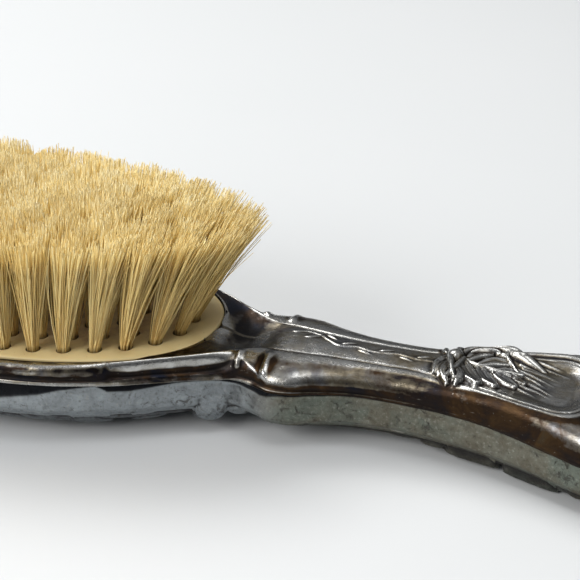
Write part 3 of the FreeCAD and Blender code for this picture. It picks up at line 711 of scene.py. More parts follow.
def underside_relief(x, y):
    """Pressed decoration of the back: a plain oval in a beaded frame, scrolls and
    leaf sprays round it, and a leaf chain down the handle. Returned as outward height."""
    h = np.zeros_like(x)

    def up(v):
        nonlocal h
        h = np.maximum(h, v)
    # oval frame round the plain flat
    ox, oy = (x + 41.0) / 27.0, y / 14.2
    r = np.sqrt(ox * ox + oy * oy)
    ang = np.arctan2(oy, ox)
    up(0.75 * np.clip(1 - ((r - 1.10) / 0.055) ** 2, 0, 1) ** 0.5)
    dots = 0.5 + 0.5 * np.cos(ang * 64)
    up(0.62 * np.clip(1 - ((r - 1.20) / 0.035) ** 2, 0, 1) ** 0.5 * dots ** 0.6)
    # scroll pairs round the head, mirrored in y
    ay = np.abs(y)
    scrolls = [[(-86, 4.0), (-88, 9.0), (-84.0, 13.5), (-79.0, 12.5), (-78.0, 8.6), (-81.0, 7.4), (-82.6, 9.6)],
               [(-78, 14.5), (-73.0, 19.0), (-66.0, 21.6), (-59.0, 20.6), (-57.0, 18.4), (-59.6, 17.2)],
               [(-54, 19.6), (-47.0, 23.2), (-39.0, 23.6), (-32.0, 21.6), (-30.2, 19.0), (-33.0, 18.0)],
               [(-28, 19.8), (-21.0, 21.8), (-14.0, 20.4), (-9.4, 17.0), (-10.0, 14.0), (-13.0, 14.2)],
               [(-8, 12.6), (-3.0, 14.4), (2.4, 12.8), (6.0, 9.6), (4.8, 7.2), (2.2, 7.8)],
               [(-9, 6.2), (-3.0, 3.8), (3.0, 3.6), (9.0, 4.6), (13.6, 3.6), (14.0, 1.6)]]
    for k, c in enumerate(scrolls):
        pts = curve_pts(c, 30)
        d, t, s = seg_dist(x, ay, pts)
        w = 1.35 - 0.55 * t
        q = np.clip(d / w, 0, 1)
        up(0.85 * np.sqrt(1 - q * q) * (1 - 0.35 * t) - 0.16 * np.exp(-(d / 0.22) ** 2))
        up(np.where(np.hypot(x - c[-1][0], ay - c[-1][1]) < 1.5,
                    0.9 * np.sqrt(np.clip(1 - (np.hypot(x - c[-1][0], ay - c[-1][1]) / 1.5) ** 2, 0, 1)), 0))
    # leaves between the scrolls
    for cx_, cy_, an, ln, wd in [(-75.5, 8.2, 0.5, 4.6, 2.0), (-70.5, 14.8, 0.4, 4.6, 2.0), (-62.0, 25.0, 0.10, 4.8, 1.6),
                                 (-53.5, 24.6, -0.1, 4.2, 1.5), (-46.5, 19.0, 0.15, 4.0, 1.5), (-36.0, 26.0, 0.0, 4.6, 1.4),
                                 (-25.5, 24.4, -0.15, 4.4, 1.6), (-24.0, 17.4, -0.25, 4.0, 1.6), (-14.5, 23.0, -0.3, 4.4, 1.5),
                                 (-16.0, 11.4, -0.5, 4.4, 1.9), (-5.0, 18.6, -0.45, 4.2, 1.5), (-4.0, 9.4, -0.3, 3.6, 1.4),
                                 (5.0, 13.4, -0.6, 3.8, 1.4), (9.6, 8.6, -0.5, 3.4, 1.5), (15.4, 8.6, -0.35, 3.6, 1.5),
                                 (19.0, 5.2, -0.1, 3.4, 1.4), (-90.6, 8.6, 1.2, 3.8, 1.4), (-84.0, 17.6, 0.8, 4.0, 1.4)]:
        dx, dy = x - cx_, ay - cy_
        u = (dx * math.cos(an) + dy * math.sin(an)) / ln
        v = (-dx * math.sin(an) + dy * math.cos(an)) / wd
        wl = np.clip(1 - u * u, 0, 1) ** 0.8 * (1 - 0.25 * u)
        q = np.clip(np.abs(v) / np.maximum(wl, 1e-3), 0, 1)
        vein = 0.20 * np.exp(-(v / 0.10) ** 2) + 0.09 * (0.5 + 0.5 * np.cos((u * 2.2 - np.abs(v) * 1.6) * 2 * np.pi)) * (np.abs(v) > 0.1)
        up(np.where((np.abs(u) < 1) & (q < 1), 0.80 * np.sqrt(1 - q * q) - vein, 0))
    # leaf chain on the handle, larger to the end
    for cx_, cy_, an, ln, wd, hh in [(31.0, 6.6, 0.25, 4.2, 2.1, 0.7), (38.5, 5.0, -0.2, 3.8, 1.6, 0.6), (46.0, 4.6, 0.1, 3.6, 1.5, 0.6),
                                     (53.0, 4.8, 0.1, 3.4, 1.5, 0.6), (59.6, 5.5, 0.10, 2.6, 2.0, 1.1), (67.2, 6.6, 0.16, 5.4, 3.2, 1.9),
                                     (78.6, 9.6, 0.27, 5.6, 3.6, 2.0), (88.0, 13.2, 0.1, 4.6, 2.4, 0.8), (97.2, 9.8, -0.7, 4.4, 2.2, 0.7)]:
        dx, dy = x - cx_, ay - cy_
        u = (dx * math.cos(an) + dy * math.sin(an)) / ln
        v = (-dx * math.sin(an) + dy * math.cos(an)) / wd
        wl = np.clip(1 - u * u, 0, 1) ** 0.7
        q = np.clip(np.abs(v) / np.maximum(wl, 1e-3), 0, 1)
        vein = 0.16 * np.exp(-(v / 0.10) ** 2) + 0.07 * (0.5 + 0.5 * np.cos((u * 2.4 - np.abs(v) * 1.6) * 2 * np.pi)) * (np.abs(v) > 0.1)
        up(np.where((np.abs(u) < 1) & (q < 1), hh * np.sqrt(1 - q * q) - vein, 0))
    mid = curve_pts([(20, 0), (40, 0), (60, 0), (78, 0), (97, 0)], 30)
    up(ridge(x, ay, mid, 0.9, 0.55, 0.3))
    for k, cx_ in enumerate([28, 36, 44, 52, 61, 71, 82]):
        c2 = [(cx_ - 4, 0.4), (cx_ - 1.0, 2.0 + 0.05 * k), (cx_ + 2.0, 2.6 + 0.35 * k), (cx_ + 3.2, 1.6 + 0.3 * k)]
        up(ridge(x, ay, curve_pts(c2, 14), 0.75, 0.5, 0.5))
    # rounded nub near the handle end
    up(1.5 * np.sqrt(np.clip(1 - ((x - 86.6) / 2.2) ** 2 - ((ay - 14.9) / 2.0) ** 2, 0, 1)))
    # lump where the head runs into the neck
    up(2.5 * np.sqrt(np.clip(1 - ((x - 16.4) / 3.6) ** 2 - ((ay - 10.9) / 2.2) ** 2, 0, 1)))
    up(1.1 * np.sqrt(np.clip(1 - ((x - 21.4) / 2.2) ** 2 - ((ay - 8.9) / 1.6) ** 2, 0, 1)))
    return h


_s = np.array([0.0, 0.36, 0.66, 0.86, 0.955, 1.05])
PROF_S = np.linspace(0, 1.05, 80)
PROF_Z = np.clip(hermite(PROF_S, _s, np.array([1.0, 0.97, 0.80, 0.42, 0.0, -0.5])), -0.5, 1.0)


def back_grid(side, rows):
    S = len(rows)
    C, Cy, J = rows[:, 0], rows[:, 1], rows[:, 7]
    zs, zw = st(C, 2), st(C, 6)
    zb = np.maximum(st(J, 7), 0.0)
    # outward plan normal of the seam line
    tx, ty = np.gradient(C), np.gradient(Cy)
    L = np.hypot(tx, ty)
    nx, ny = -ty / L, tx / L
    flip = np.where(ny < 0, -1, 1); nx, ny = nx * flip, ny * flip
    nx[0], ny[0] = -1, 0
    nx[-1], ny[-1] = 1, 0
    # wall: from under the lip down to the foot
    b = np.linspace(0, 1, NW)[None, :]
    top = zs - 0.05
    foot = zw
    Zw = top[:, None] + (foot - top)[:, None] * b
    wall_h = (top - foot)[:, None]
    # hollow under the lip, deep and tall on the head, shallow along the handle
    cove_h = np.interp(C, [-101, -60, -29, -20, -12, -8.5, -2, 0, 4, 8, 12, 18, 24, 27, 31, 40, 106],
                       [5.6, 5.6, 5.5, 4.5, 3.0, 1.9, 0.9, 2.4, 2.4, 1.8, 1.1, 1.0, 2.0, 2.4, 1.3, 0.8, 0.8])
    cove_d = np.interp(C, [-101, -60, -29, -20, -12, -8.5, -2, 0, 4, 8, 12, 18, 24, 27, 31, 40, 106],
                       [0.62, 0.62, 0.62, 0.6, 0.55, 0.45, 0.4, 0.5, 0.5, 0.45, 0.4, 0.4, 0.5, 0.5, 0.45, 0.4, 0.4])
    depth = b * wall_h
    cv = np.clip(1 - depth / cove_h[:, None], 0, 1)
    base_in = np.interp(C, [-101, 15, 30, 106], [0.30, 0.30, 0.25, 0.22])[:, None]
    inn = base_in + cove_d[:, None] * smooth(0, 1, cv) ** 0.8
    # swelling of the wall, then the turn at its foot
    inn = inn - 0.25 * np.sin(np.pi * np.clip((b - 0.25) / 0.75, 0, 1))
    inn = inn + 0.95 * smooth(0.74, 1.0, b) ** 1.5
    n_w = fbm(np.stack([(C[:, None] + 0 * b).ravel() * 0.13, (0 * C[:, None] + side * 9 + b * 1.5).ravel()], -1), 3, 31).reshape(inn.shape)
    inn = inn - 0.16 * n_w
    X = C[:, None] - nx[:, None] * inn
    Y = Cy[:, None] - ny[:, None] * inn
    # ends meet on the axis
    wall = np.stack([X, Y, Zw], -1)
    # underside from the foot to the centre line
    F = wall[:, -1]
    t = np.linspace(0, 1, NU + 1)[1:][None, :] ** 1.15
    xi = F[:, 0:1] + (J[:, None] - F[:, 0:1]) * t
    yi = F[:, 1:2] * (1 - t)
    hs_i, zw_i, zb_i = st(xi, 1), st(xi, 6), st(xi, 7)
    prof = np.interp(np.abs(yi) / np.maximum(hs_i, 0.5), PROF_S, PROF_Z)
    zi = zw_i - (zw_i - zb_i) * prof
    k0 = smooth(0.0, 0.10, t)
    zi = F[:, 2:3] * (1 - k0) + np.minimum(zi, F[:, 2:3]) * k0
    ox, oy = (xi + 41.0) / 27.0, yi / 14.2
    r = np.sqrt(ox * ox + oy * oy)
    lift = 0.60 * smooth(1.0, 1.06, r) * (1 - smooth(1.6, 2.6, r) * 0.3)
    zi = zi * smooth(0.80, 1.02, r) + 0.0 * zi
    zi = np.where(xi < 60, zi + lift * (xi < 30), zi)
    zi = zi + np.where(xi > 26, 0.25 * smooth(26, 32, xi), 0)
    rel = underside_relief(xi.ravel(), (yi * side).ravel()).reshape(xi.shape)
    rough = 0.05 * fbm(np.stack([xi.ravel() * 0.9, (yi * side).ravel() * 0.9], -1), 3, 77).reshape(xi.shape)
    edge = smooth(0.0, 0.05, t)
    # the same decoration creeps up the foot of the wall
    relw = underside_relief(X.ravel(), (Y * side).ravel()).reshape(X.shape)
    down = rel * 0.92 * edge + rough * smooth(1.02, 1.1, r)
    zi = np.maximum(zi - down, 0.0)
    crust = fbm(np.stack([X.ravel() * 0.8, Y.ravel() * 0.8 * side, Zw.ravel() * 0.8], -1), 3, 55).reshape(X.shape)
    k = smooth(0.45, 0.95, b)
    kx = 1 - smooth(48, 55, X)
    out = relw * 0.35 * k * kx + 0.16 * crust * smooth(0.5, 0.85, b) * (1 - smooth(24, 34, X)) + 0.03 * crust
    wall[..., 0] += out * nx[:, None]; wall[..., 1] += out * ny[:, None]
    wall[..., 2] -= relw * 0.9 * smooth(0.8, 1.0, b) * kx
    wall[..., 2] = np.maximum(wall[..., 2], 0.0)
    under = np.stack([xi, yi, zi], -1)
    hem_in = wall[:, 0:1].copy()
    hem_in[..., 0] -= nx[:, None] * 0.5; hem_in[..., 1] -= ny[:, None] * 0.5
    hem_in[..., 2] += 0.1
    P = np.concatenate([hem_in, wall, under], 1)
    P[0, :, 1] = 0; P[-1, :, 1] = 0
    P[..., 1] = np.maximum(P[..., 1], 0)
    P[:, -1, 1] = 0
    P[..., 1] *= side
    bb = np.concatenate([np.zeros((S, 1)), np.broadcast_to(b, X.shape), 1 + np.broadcast_to(t, xi.shape)], 1)
    cvf = np.concatenate([np.ones((S, 1)), cv, np.zeros_like(xi)], 1)
    rl = np.concatenate([np.zeros((S, 1)), relw * k, rel], 1)
    return P, bb, cvf, rl


def back_attrs(P, bb, cvf, rl):
    N = grid_normals(P)
    if (N[:, 20, 1] * P[:, 20, 1]).mean() < 0:
        N = -N
    cav = cavity(P, N)
    # painted shade: the hollow under the lip is darkened, as if the rim shaded the wall
    cove_shade = smooth(0.02, 0.30, cvf) * (bb < 1.0)
    # tone: patina in the hollows, plus painted shade over the underside, darkest next to the foot of the wall; the
    # painted shade under the lip is added on the next line
    tone = 0.12 + np.clip(cav, -0.1, 0.5) * 1.8 + np.where(bb > 1.003, 0.36 + 0.75 * smooth(1.28, 1.06, bb), 0.0)
    tone = np.maximum(tone, 1.6 * cove_shade)
    patina = smooth(20, 34, P[..., 0])
    return {"tone": np.clip(tone, 0, 1), "cove_shade": cove_shade, "warm": patina, "wear": np.clip(-cav * 5, 0, 1), "cav": np.clip(cav * 4, 0, 1)}


BK_SP = ([-101, -60, -34, -28, 10, 20, 30, 56, 92, 106], [1.4, 1.3, 1.0, 0.55, 0.5, 0.4, 0.42, 0.42, 0.34, 0.45])
rows_b, _h = sample_rows(BK_SP)
print("back rows", len(rows_b))
bN = back_grid(-1, rows_b)
bF = back_grid(+1, rows_b)
VB = bN[0].shape[1]
cols_b = [0, 4, 12, 22, 32, 44, 56, 70, 88, VB - 1]
back_shell = closed_shell("back_shell_visual", [bN[0], bF[0]], [back_attrs(*bN), back_attrs(*bF)], cols_b, 0.45, [])


# ================================================================== face plate
def ring_pts(a, b, power, count, phase):
    th = 2 * math.pi * np.arange(1441) / 1440
    x, y = super_outline(th, a, b, power)
    L = np.concatenate([[0], np.cumsum(np.hypot(np.diff(x), np.diff(y)))])
    want = ((np.arange(count) + phase) / count % 1.0) * L[-1]
    return np.stack([np.interp(want, L, x), np.interp(want, L, y)], -1)


RA, RB, STEP = PA - 5.6, PB - 3.4, 5.35
TUFTS = []
ROW_OF = []
for k, count, phase in [(0, 40, 0.22), (1, 34, 0.5), (2, 27, 0.25), (3, 20, 0.5)]:
    p = ring_pts(RA - k * STEP, RB - k * STEP * 0.985, 2.3, count, phase)
    for q in p:
        TUFTS.append(q); ROW_OF.append(("near_%d" if q[1] < 0 else "far_%d") % (k + 1))
for i in range(9):
    TUFTS.append(np.array([CX + 7.1 * (i - 4), 0.0])); ROW_OF.append("middle")
TUFTS = np.array(TUFTS)


def plate_wave(x, y):
    return 0.05 * hash_noise(np.stack([x * 0.10, y * 0.10], -1), 3) + 0.03 * hash_noise(np.stack([x * 0.3, y * 0.3], -1), 4)


def make_plate():
    n_out = 260
    th = 2 * math.pi * np.arange(n_out) / n_out
    ring_sets = []
    co, edges = [], []

    def add_loop(pts):
        b = len(co)
        co.extend([Vector((float(p[0]), float(p[1]))) for p in pts])
        edges.extend([(b + i, b + (i + 1) % len(pts)) for i in range(len(pts))])
        return list(range(b, b + len(pts)))
    insets = [(0.60, 0.0), (0.38, -0.035), (0.20, -0.12), (0.08, -0.26), (0.02, -0.43), (0.0, -0.62)]
    ox, oy = super_outline(th, PA - insets[0][0], PB - insets[0][0], PN)
    outer = add_loop(list(zip(ox, oy)))
    NH = 18
    hole_loops = []
    hr = np.random.default_rng(77)
    phs = 2 * math.pi * np.arange(NH) / NH
    for (x, y) in TUFTS:
        rr = 1.52 + 0.03 * np.cos(phs * 2 + hr.uniform(0, 6)) + 0.015 * hr.normal(size=NH)
        hole_loops.append(add_loop([(x + r * math.cos(a), y + r * math.sin(a)) for a, r in zip(phs, rr)]))
    # fill points
    gx, gy = np.meshgrid(np.arange(-96, 15, 1.5), np.arange(-24, 24.5, 1.5))
    gx = gx + (np.arange(gx.shape[0]) % 2)[:, None] * 0.75
    q = np.stack([gx.ravel(), gy.ravel()], -1)
    inside = (np.abs((q[:, 0] - CX) / (PA - 1.6)) ** PN + np.abs(q[:, 1] / (PB - 1.6)) ** PN) < 1
    q = q[inside]
    d = np.sqrt(((q[:, None] - TUFTS[None]) ** 2).sum(-1)).min(1)
    q = q[d > 2.1]
    co.extend([Vector((float(p[0]), float(p[1]))) for p in q])
    vs, es, fs, ov, oe, of = delaunay_2d_cdt(co, edges, [], 0, 1e-6)
    vs = np.array([(v.x, v.y) for v in vs])
    tri = [f for f in fs]
    cen = np.array([vs[list(f)].mean(0) for f in tri])
    back = {}
    for i, o in enumerate(ov):
        for k in o:
            back[k] = i
    owner = {}
    for hi, hl in enumerate(hole_loops):
        for k in hl:
            owner[back[k]] = hi
    solid = np.array([not (len({owner.get(v, -1 - v) for v in f}) == 1) for f in tri])
    keep = solid & ((np.abs((cen[:, 0] - CX) / (PA - 0.60)) ** PN + np.abs(cen[:, 1] / (PB - 0.60)) ** PN) < 1.0)
    tri = [tuple(f) for f, k in zip(tri, keep) if k]
    z = PZ + plate_wave(vs[:, 0], vs[:, 1])
    V3 = [(*p, zz) for p, zz in zip(vs, z)]
    F = list(tri)
    # the hole attribute is painted shade: dark on the walls of the holes and on the plate's side edge below its face
    attr = [0.0] * len(V3)
    # rounded outer edge, side and bottom
    prev = [back[i] for i in outer]
    zb_ = PZ - PT
    loops_out = [prev]
    for ins, dz in insets[1:] + [(0.0, -PT + 0.1)]:
        x, y = super_outline(th, PA - ins, PB - ins, PN)
        b0 = len(V3)
        for xx, yy in zip(x, y):
            V3.append((xx, yy, PZ + dz)); attr.append(0.35 if dz < -0.3 else 0.0)
        cur = list(range(b0, b0 + n_out))
        for i in range(n_out):
            j = (i + 1) % n_out
            F.append((prev[i], prev[j], cur[j], cur[i]))
        prev = cur
    side_bottom = prev
    # hole walls: eased rim, then straight down through the plate
    bottoms = []
    for hl, (x, y) in zip(hole_loops, TUFTS):
        prev = [back[i] for i in hl]
        for rr, dz, dk in ((1.43, -0.04, 0.35), (1.37, -0.18, 0.8), (1.35, -0.7, 1.0), (1.35, -PT, 1.0)):
            b0 = len(V3)
            for a in phs:
                V3.append((x + rr * math.cos(a), y + rr * math.sin(a), PZ + dz)); attr.append(dk)
            cur = list(range(b0, b0 + NH))
            for i in range(NH):
                j = (i + 1) % NH
                F.append((prev[i], prev[j], cur[j], cur[i]))
            prev = cur
        bottoms.append(prev)
    # bottom face, drilled as well
    co2 = [Vector(V3[i][:2]) for i in side_bottom]
    e2 = [(i, (i + 1) % n_out) for i in range(n_out)]
    src = list(side_bottom)
    for bl in bottoms:
        b0 = len(co2)
        co2.extend([Vector(V3[i][:2]) for i in bl]); src.extend(bl)
        e2.extend([(b0 + i, b0 + (i + 1) % NH) for i in range(NH)])
    vs2, es2, fs2, ov2, oe2, of2 = delaunay_2d_cdt(co2, e2, [], 0, 1e-6)
    m2 = [src[o[0]] for o in ov2]
    a2 = np.array([(v.x, v.y) for v in vs2])
    own2 = {}
    for bi, bl in enumerate(bottoms):
        for v_ in bl:
            own2[v_] = bi
    for f in fs2:
        g = [m2[i] for i in f]
        if len({own2.get(v_, -1 - v_) for v_ in g}) > 1:
            F.append(tuple(g)[::-1])
    for i in side_bottom:
        V3[i] = (V3[i][0], V3[i][1], zb_)
    ob = new_mesh("bristle_plate_visual", V3, F)
    point_attr(ob, "hole", attr)
    bm = bmesh.new(); bm.from_mesh(ob.data)
    bmesh.ops.recalc_face_normals(bm, faces=bm.faces)
    print("plate faces", len(bm.faces), "open", len([e for e in bm.edges if not e.is_manifold]))
    bm.to_mesh(ob.data); bm.free()
    ob.data.polygons.foreach_set("use_smooth", np.ones(len(ob.data.polygons), bool))
    return ob


plate = make_plate()

# ==================================================================== bristles
BRISTLE = 23.6


def tip_shift(x, y):
    u = (x - CX) / RA; v = y / RB
    return (11.7 * np.sign(u) * np.abs(u) ** 2.3, 2.6 * np.sign(v) * np.abs(v) ** 1.5 * (1 - 0.5 * u * u))


def trim_z(x, y):
    """The trimmed face: gently domed, a little ragged, with one gap at the far side."""
    u = (x - CX) / 62.5; v = y / 24.5
    r2 = np.minimum(1.2, u * u + v * v)
    q = np.stack([x, y], -1)
    z = PZ + BRISTLE - 0.7 * r2 + 0.30 * hash_noise(q * 0.16, 8) + 0.22 * hash_noise(q * 0.45, 9)
    z = z + 0.75 * smooth(-22, -38, x)
    return z - 2.6 * np.exp(-((x + 36.2) / 1.7) ** 2) * smooth(17.5, 20.5, y)


HAIRS = 185
NS = 6


def make_row(row, idx):
    r_ = np.random.default_rng(900 + len(row) * 31 + sum(map(ord, row)))
    P0, P1, RR, RND, BOW = [], [], [], [], []
    for i in idx:
        bx, by = TUFTS[i]
        n = int(HAIRS * r_.uniform(0.88, 1.12))
        # roots packed in the hole
        rad = 1.06 * np.sqrt(r_.uniform(0, 1, n)); ang = r_.uniform(0, 2 * math.pi, n)
        rx, ry = rad * np.cos(ang), rad * np.sin(ang)
        dx, dy = tip_shift(np.full(n, bx), np.full(n, by))
        lean = r_.normal(0, 0.35, 2)
        spread = r_.uniform(2.7, 3.2)
        tx = bx + dx + lean[0] + rx * spread + r_.normal(0, 1.0, n).clip(-2.1, 2.1)
        ty = by + dy + lean[1] + ry * spread + r_.normal(0, 1.0, n).clip(-2.1, 2.1)
        # a few hairs wander
        wild = r_.uniform(size=n) < 0.06
        tx = np.where(wild, tx + r_.normal(0, 1.3, n).clip(-2.2, 2.2), tx)
        ty = np.where(wild, ty + r_.normal(0, 1.3, n).clip(-2.2, 2.2), ty)
        tz = trim_z(tx, ty) + r_.normal(0, 0.14, n)
        short = r_.uniform(size=n) < 0.10
        tz = np.where(short, tz - np.abs(r_.normal(0, 2.2, n)), tz)
        P0.append(np.stack([bx + rx, by + ry, np.full(n, PZ - 1.6)], -1))
        P1.append(np.stack([tx, ty, tz], -1))
        RR.append(r_.uniform(0.075, 0.120, n))
        RND.append(r_.uniform(0, 1, n) * 0.7 + r_.uniform(0, 1) * 0.3)
        BOW.append(np.stack([r_.normal(0, 0.30, n), r_.normal(0, 0.30, n)], -1))
    P0 = np.concatenate(P0); P1 = np.concatenate(P1); RR = np.concatenate(RR); RND = np.concatenate(RND); BOW = np.concatenate(BOW)
    n = len(P0)
    t = np.array([0.0, 0.10, 0.30, 0.54, 0.78, 1.0])
    # straight in the hole, then fanning: lateral travel grows a little faster than height
    lat = t ** 1.30
    lat[1] = 0.025
    pos = P0[:, None] + (P1 - P0)[:, None] * np.stack([lat, lat, t], -1)[None]
    pos[..., :2] += BOW[:, None] * (np.sin(np.pi * t) ** 1.0)[None, :, None]
    rad = RR[:, None] * np.array([1.05, 1.05, 1.0, 0.98, 0.94, 0.80])[None]
    a0 = rng.uniform(0, 2 * math.pi, n)
    ang = a0[:, None] + np.array([0, 2 * math.pi / 3, 4 * math.pi / 3])[None]
    off = np.stack([np.cos(ang), np.sin(ang), np.zeros_like(ang)], -1)      # n,3,3
    V_ = pos[:, :, None, :] + rad[:, :, None, None] * off[:, None]          # n,NS,3,3
    verts = V_.reshape(-1, 3)
    base = (np.arange(n) * NS * 3)[:, None, None]
    lv = (np.arange(NS - 1) * 3)[None, :, None]
    k = np.arange(3)[None, None, :]
    a = base + lv + k; b = base + lv + (k + 1) % 3
    quads = np.stack([a, b, b + 3, a + 3], -1).reshape(-1, 4)
    bot = np.stack([base[:, 0, 0] + 2, base[:, 0, 0] + 1, base[:, 0, 0]], -1)
    topb = base[:, 0, 0] + (NS - 1) * 3
    top = np.stack([topb, topb + 1, topb + 2], -1)
    name = "bristles_" + row
    me = bpy.data.meshes.new(name)
    loops = np.concatenate([quads.ravel(), bot.ravel(), top.ravel()]).astype(np.int32)
    nq, nt = len(quads), 2 * n
    me.vertices.add(len(verts)); me.vertices.foreach_set("co", (verts * MM).astype(np.float32).ravel())
    me.loops.add(len(loops)); me.loops.foreach_set("vertex_index", loops)
    me.polygons.add(nq + nt)
    me.polygons.foreach_set("loop_start", np.concatenate([np.arange(nq) * 4, nq * 4 + np.arange(nt) * 3]).astype(np.int32))
    me.polygons.foreach_set("loop_total", np.concatenate([np.full(nq, 4), np.full(nt, 3)]).astype(np.int32))
    me.polygons.foreach_set("use_smooth", np.ones(nq + nt, bool))
    me.update(calc_edges=True)
    ob = bpy.data.objects.new(name, me)
    bpy.context.scene.collection.objects.link(ob)
    point_attr(ob, "hair", np.broadcast_to(RND[:, None, None], (n, NS, 3)).ravel())
    hh = (V_[..., 2] - PZ) / BRISTLE
    point_attr(ob, "up", np.clip(hh, 0, 1).ravel())
    return ob


ROWS = {}
for i, r in enumerate(ROW_OF):
    ROWS.setdefault(r, []).append(i)
bristle_rows = {r: make_row(r, idx) for r, idx in ROWS.items()}
print("hairs", sum(len(o.data.vertices) for o in bristle_rows.values()) // (3 * NS))


# =================================================================== materials
def mat(name):
    m = bpy.data.materials.new(name); m.use_nodes = True
    nt = m.node_tree
    for n in list(nt.nodes):
        nt.nodes.remove(n)
    out = nt.nodes.new("ShaderNodeOutputMaterial")
    bsdf = nt.nodes.new("ShaderNodeBsdfPrincipled")
    nt.links.new(bsdf.outputs[0], out.inputs[0])
    return m, nt, bsdf


class G:
    """Small helper for building node graphs."""

    def __init__(self, nt):
        self.nt = nt

    def n(self, kind, **kw):
        o = self.nt.nodes.new(kind)
        for k, v in kw.items():
            setattr(o, k, v)
        return o

    def link(self, a, b):
        self.nt.links.new(a, b)

    def coord(self):
        return self.n("ShaderNodeTexCoord").outputs["Object"]

    def attr(self, name):
        o = self.n("ShaderNodeAttribute"); o.attribute_name = name
        return o.outputs["Fac"]

    def scaled(self, vec, s):
        o = self.n("ShaderNodeVectorMath", operation="MULTIPLY")
        self.link(vec, o.inputs[0]); o.inputs[1].default_value = s
        return o.outputs[0]

    def noise(self, vec, scale, detail=4, rough=0.55, dist=0.0):
        o = self.n("ShaderNodeTexNoise")
        o.inputs["Scale"].default_value = scale; o.inputs["Detail"].default_value = detail
        o.inputs["Roughness"].default_value = rough; o.inputs["Distortion"].default_value = dist
        self.link(vec, o.inputs["Vector"])
        return o.outputs["Fac"]

    def vor(self, vec, scale, feature="F1"):
        o = self.n("ShaderNodeTexVoronoi", feature=feature)
        o.inputs["Scale"].default_value = scale
        self.link(vec, o.inputs["Vector"])
        return o.outputs["Distance"]

    def math(self, op, a, b=None, c=None, clamp=False):
        o = self.n("ShaderNodeMath", operation=op); o.use_clamp = clamp
        for i, v in enumerate((a, b, c)):
            if v is None:
                continue
            if isinstance(v, (int, float)):
                o.inputs[i].default_value = v
            else:
                self.link(v, o.inputs[i])
        return o.outputs[0]

    def ramp(self, fac, stops, interp="LINEAR"):
        o = self.n("ShaderNodeValToRGB"); o.color_ramp.interpolation = interp
        el = o.color_ramp.elements
        while len(el) > 1:
            el.remove(el[-1])
        el[0].position = stops[0][0]; c = stops[0][1]; el[0].color = (*c, 1) if len(c) == 3 else c
        for p, c in stops[1:]:
            e = el.new(p); e.color = (*c, 1) if len(c) == 3 else c
        self.link(fac, o.inputs[0])
        return o.outputs[0]

    def fmap(self, fac, a, b, c=0.0, d=1.0):
        o = self.n("ShaderNodeMapRange"); o.clamp = True
        self.link(fac, o.inputs[0])
        for i, v in enumerate((a, b, c, d)):
            o.inputs[i + 1].default_value = v
        return o.outputs[0]

    def mix(self, fac, a, b, blend="MIX"):
        o = self.n("ShaderNodeMix", data_type="RGBA", blend_type=blend)
        if isinstance(fac, (int, float)):
            o.inputs[0].default_value = fac
        else:
            self.link(fac, o.inputs[0])
        for i, v in ((6, a), (7, b)):
            if isinstance(v, tuple):
                o.inputs[i].default_value = (*v, 1) if len(v) == 3 else v
            else:
                self.link(v, o.inputs[i])
        return o.outputs[2]

    def bump(self, height, strength, dist, normal=None):
        o = self.n("ShaderNodeBump")
        o.inputs["Strength"].default_value = strength; o.inputs["Distance"].default_value = dist
        self.link(height, o.inputs["Height"])
        if normal is not None:
            self.link(normal, o.inputs["Normal"])
        return o.outputs[0]


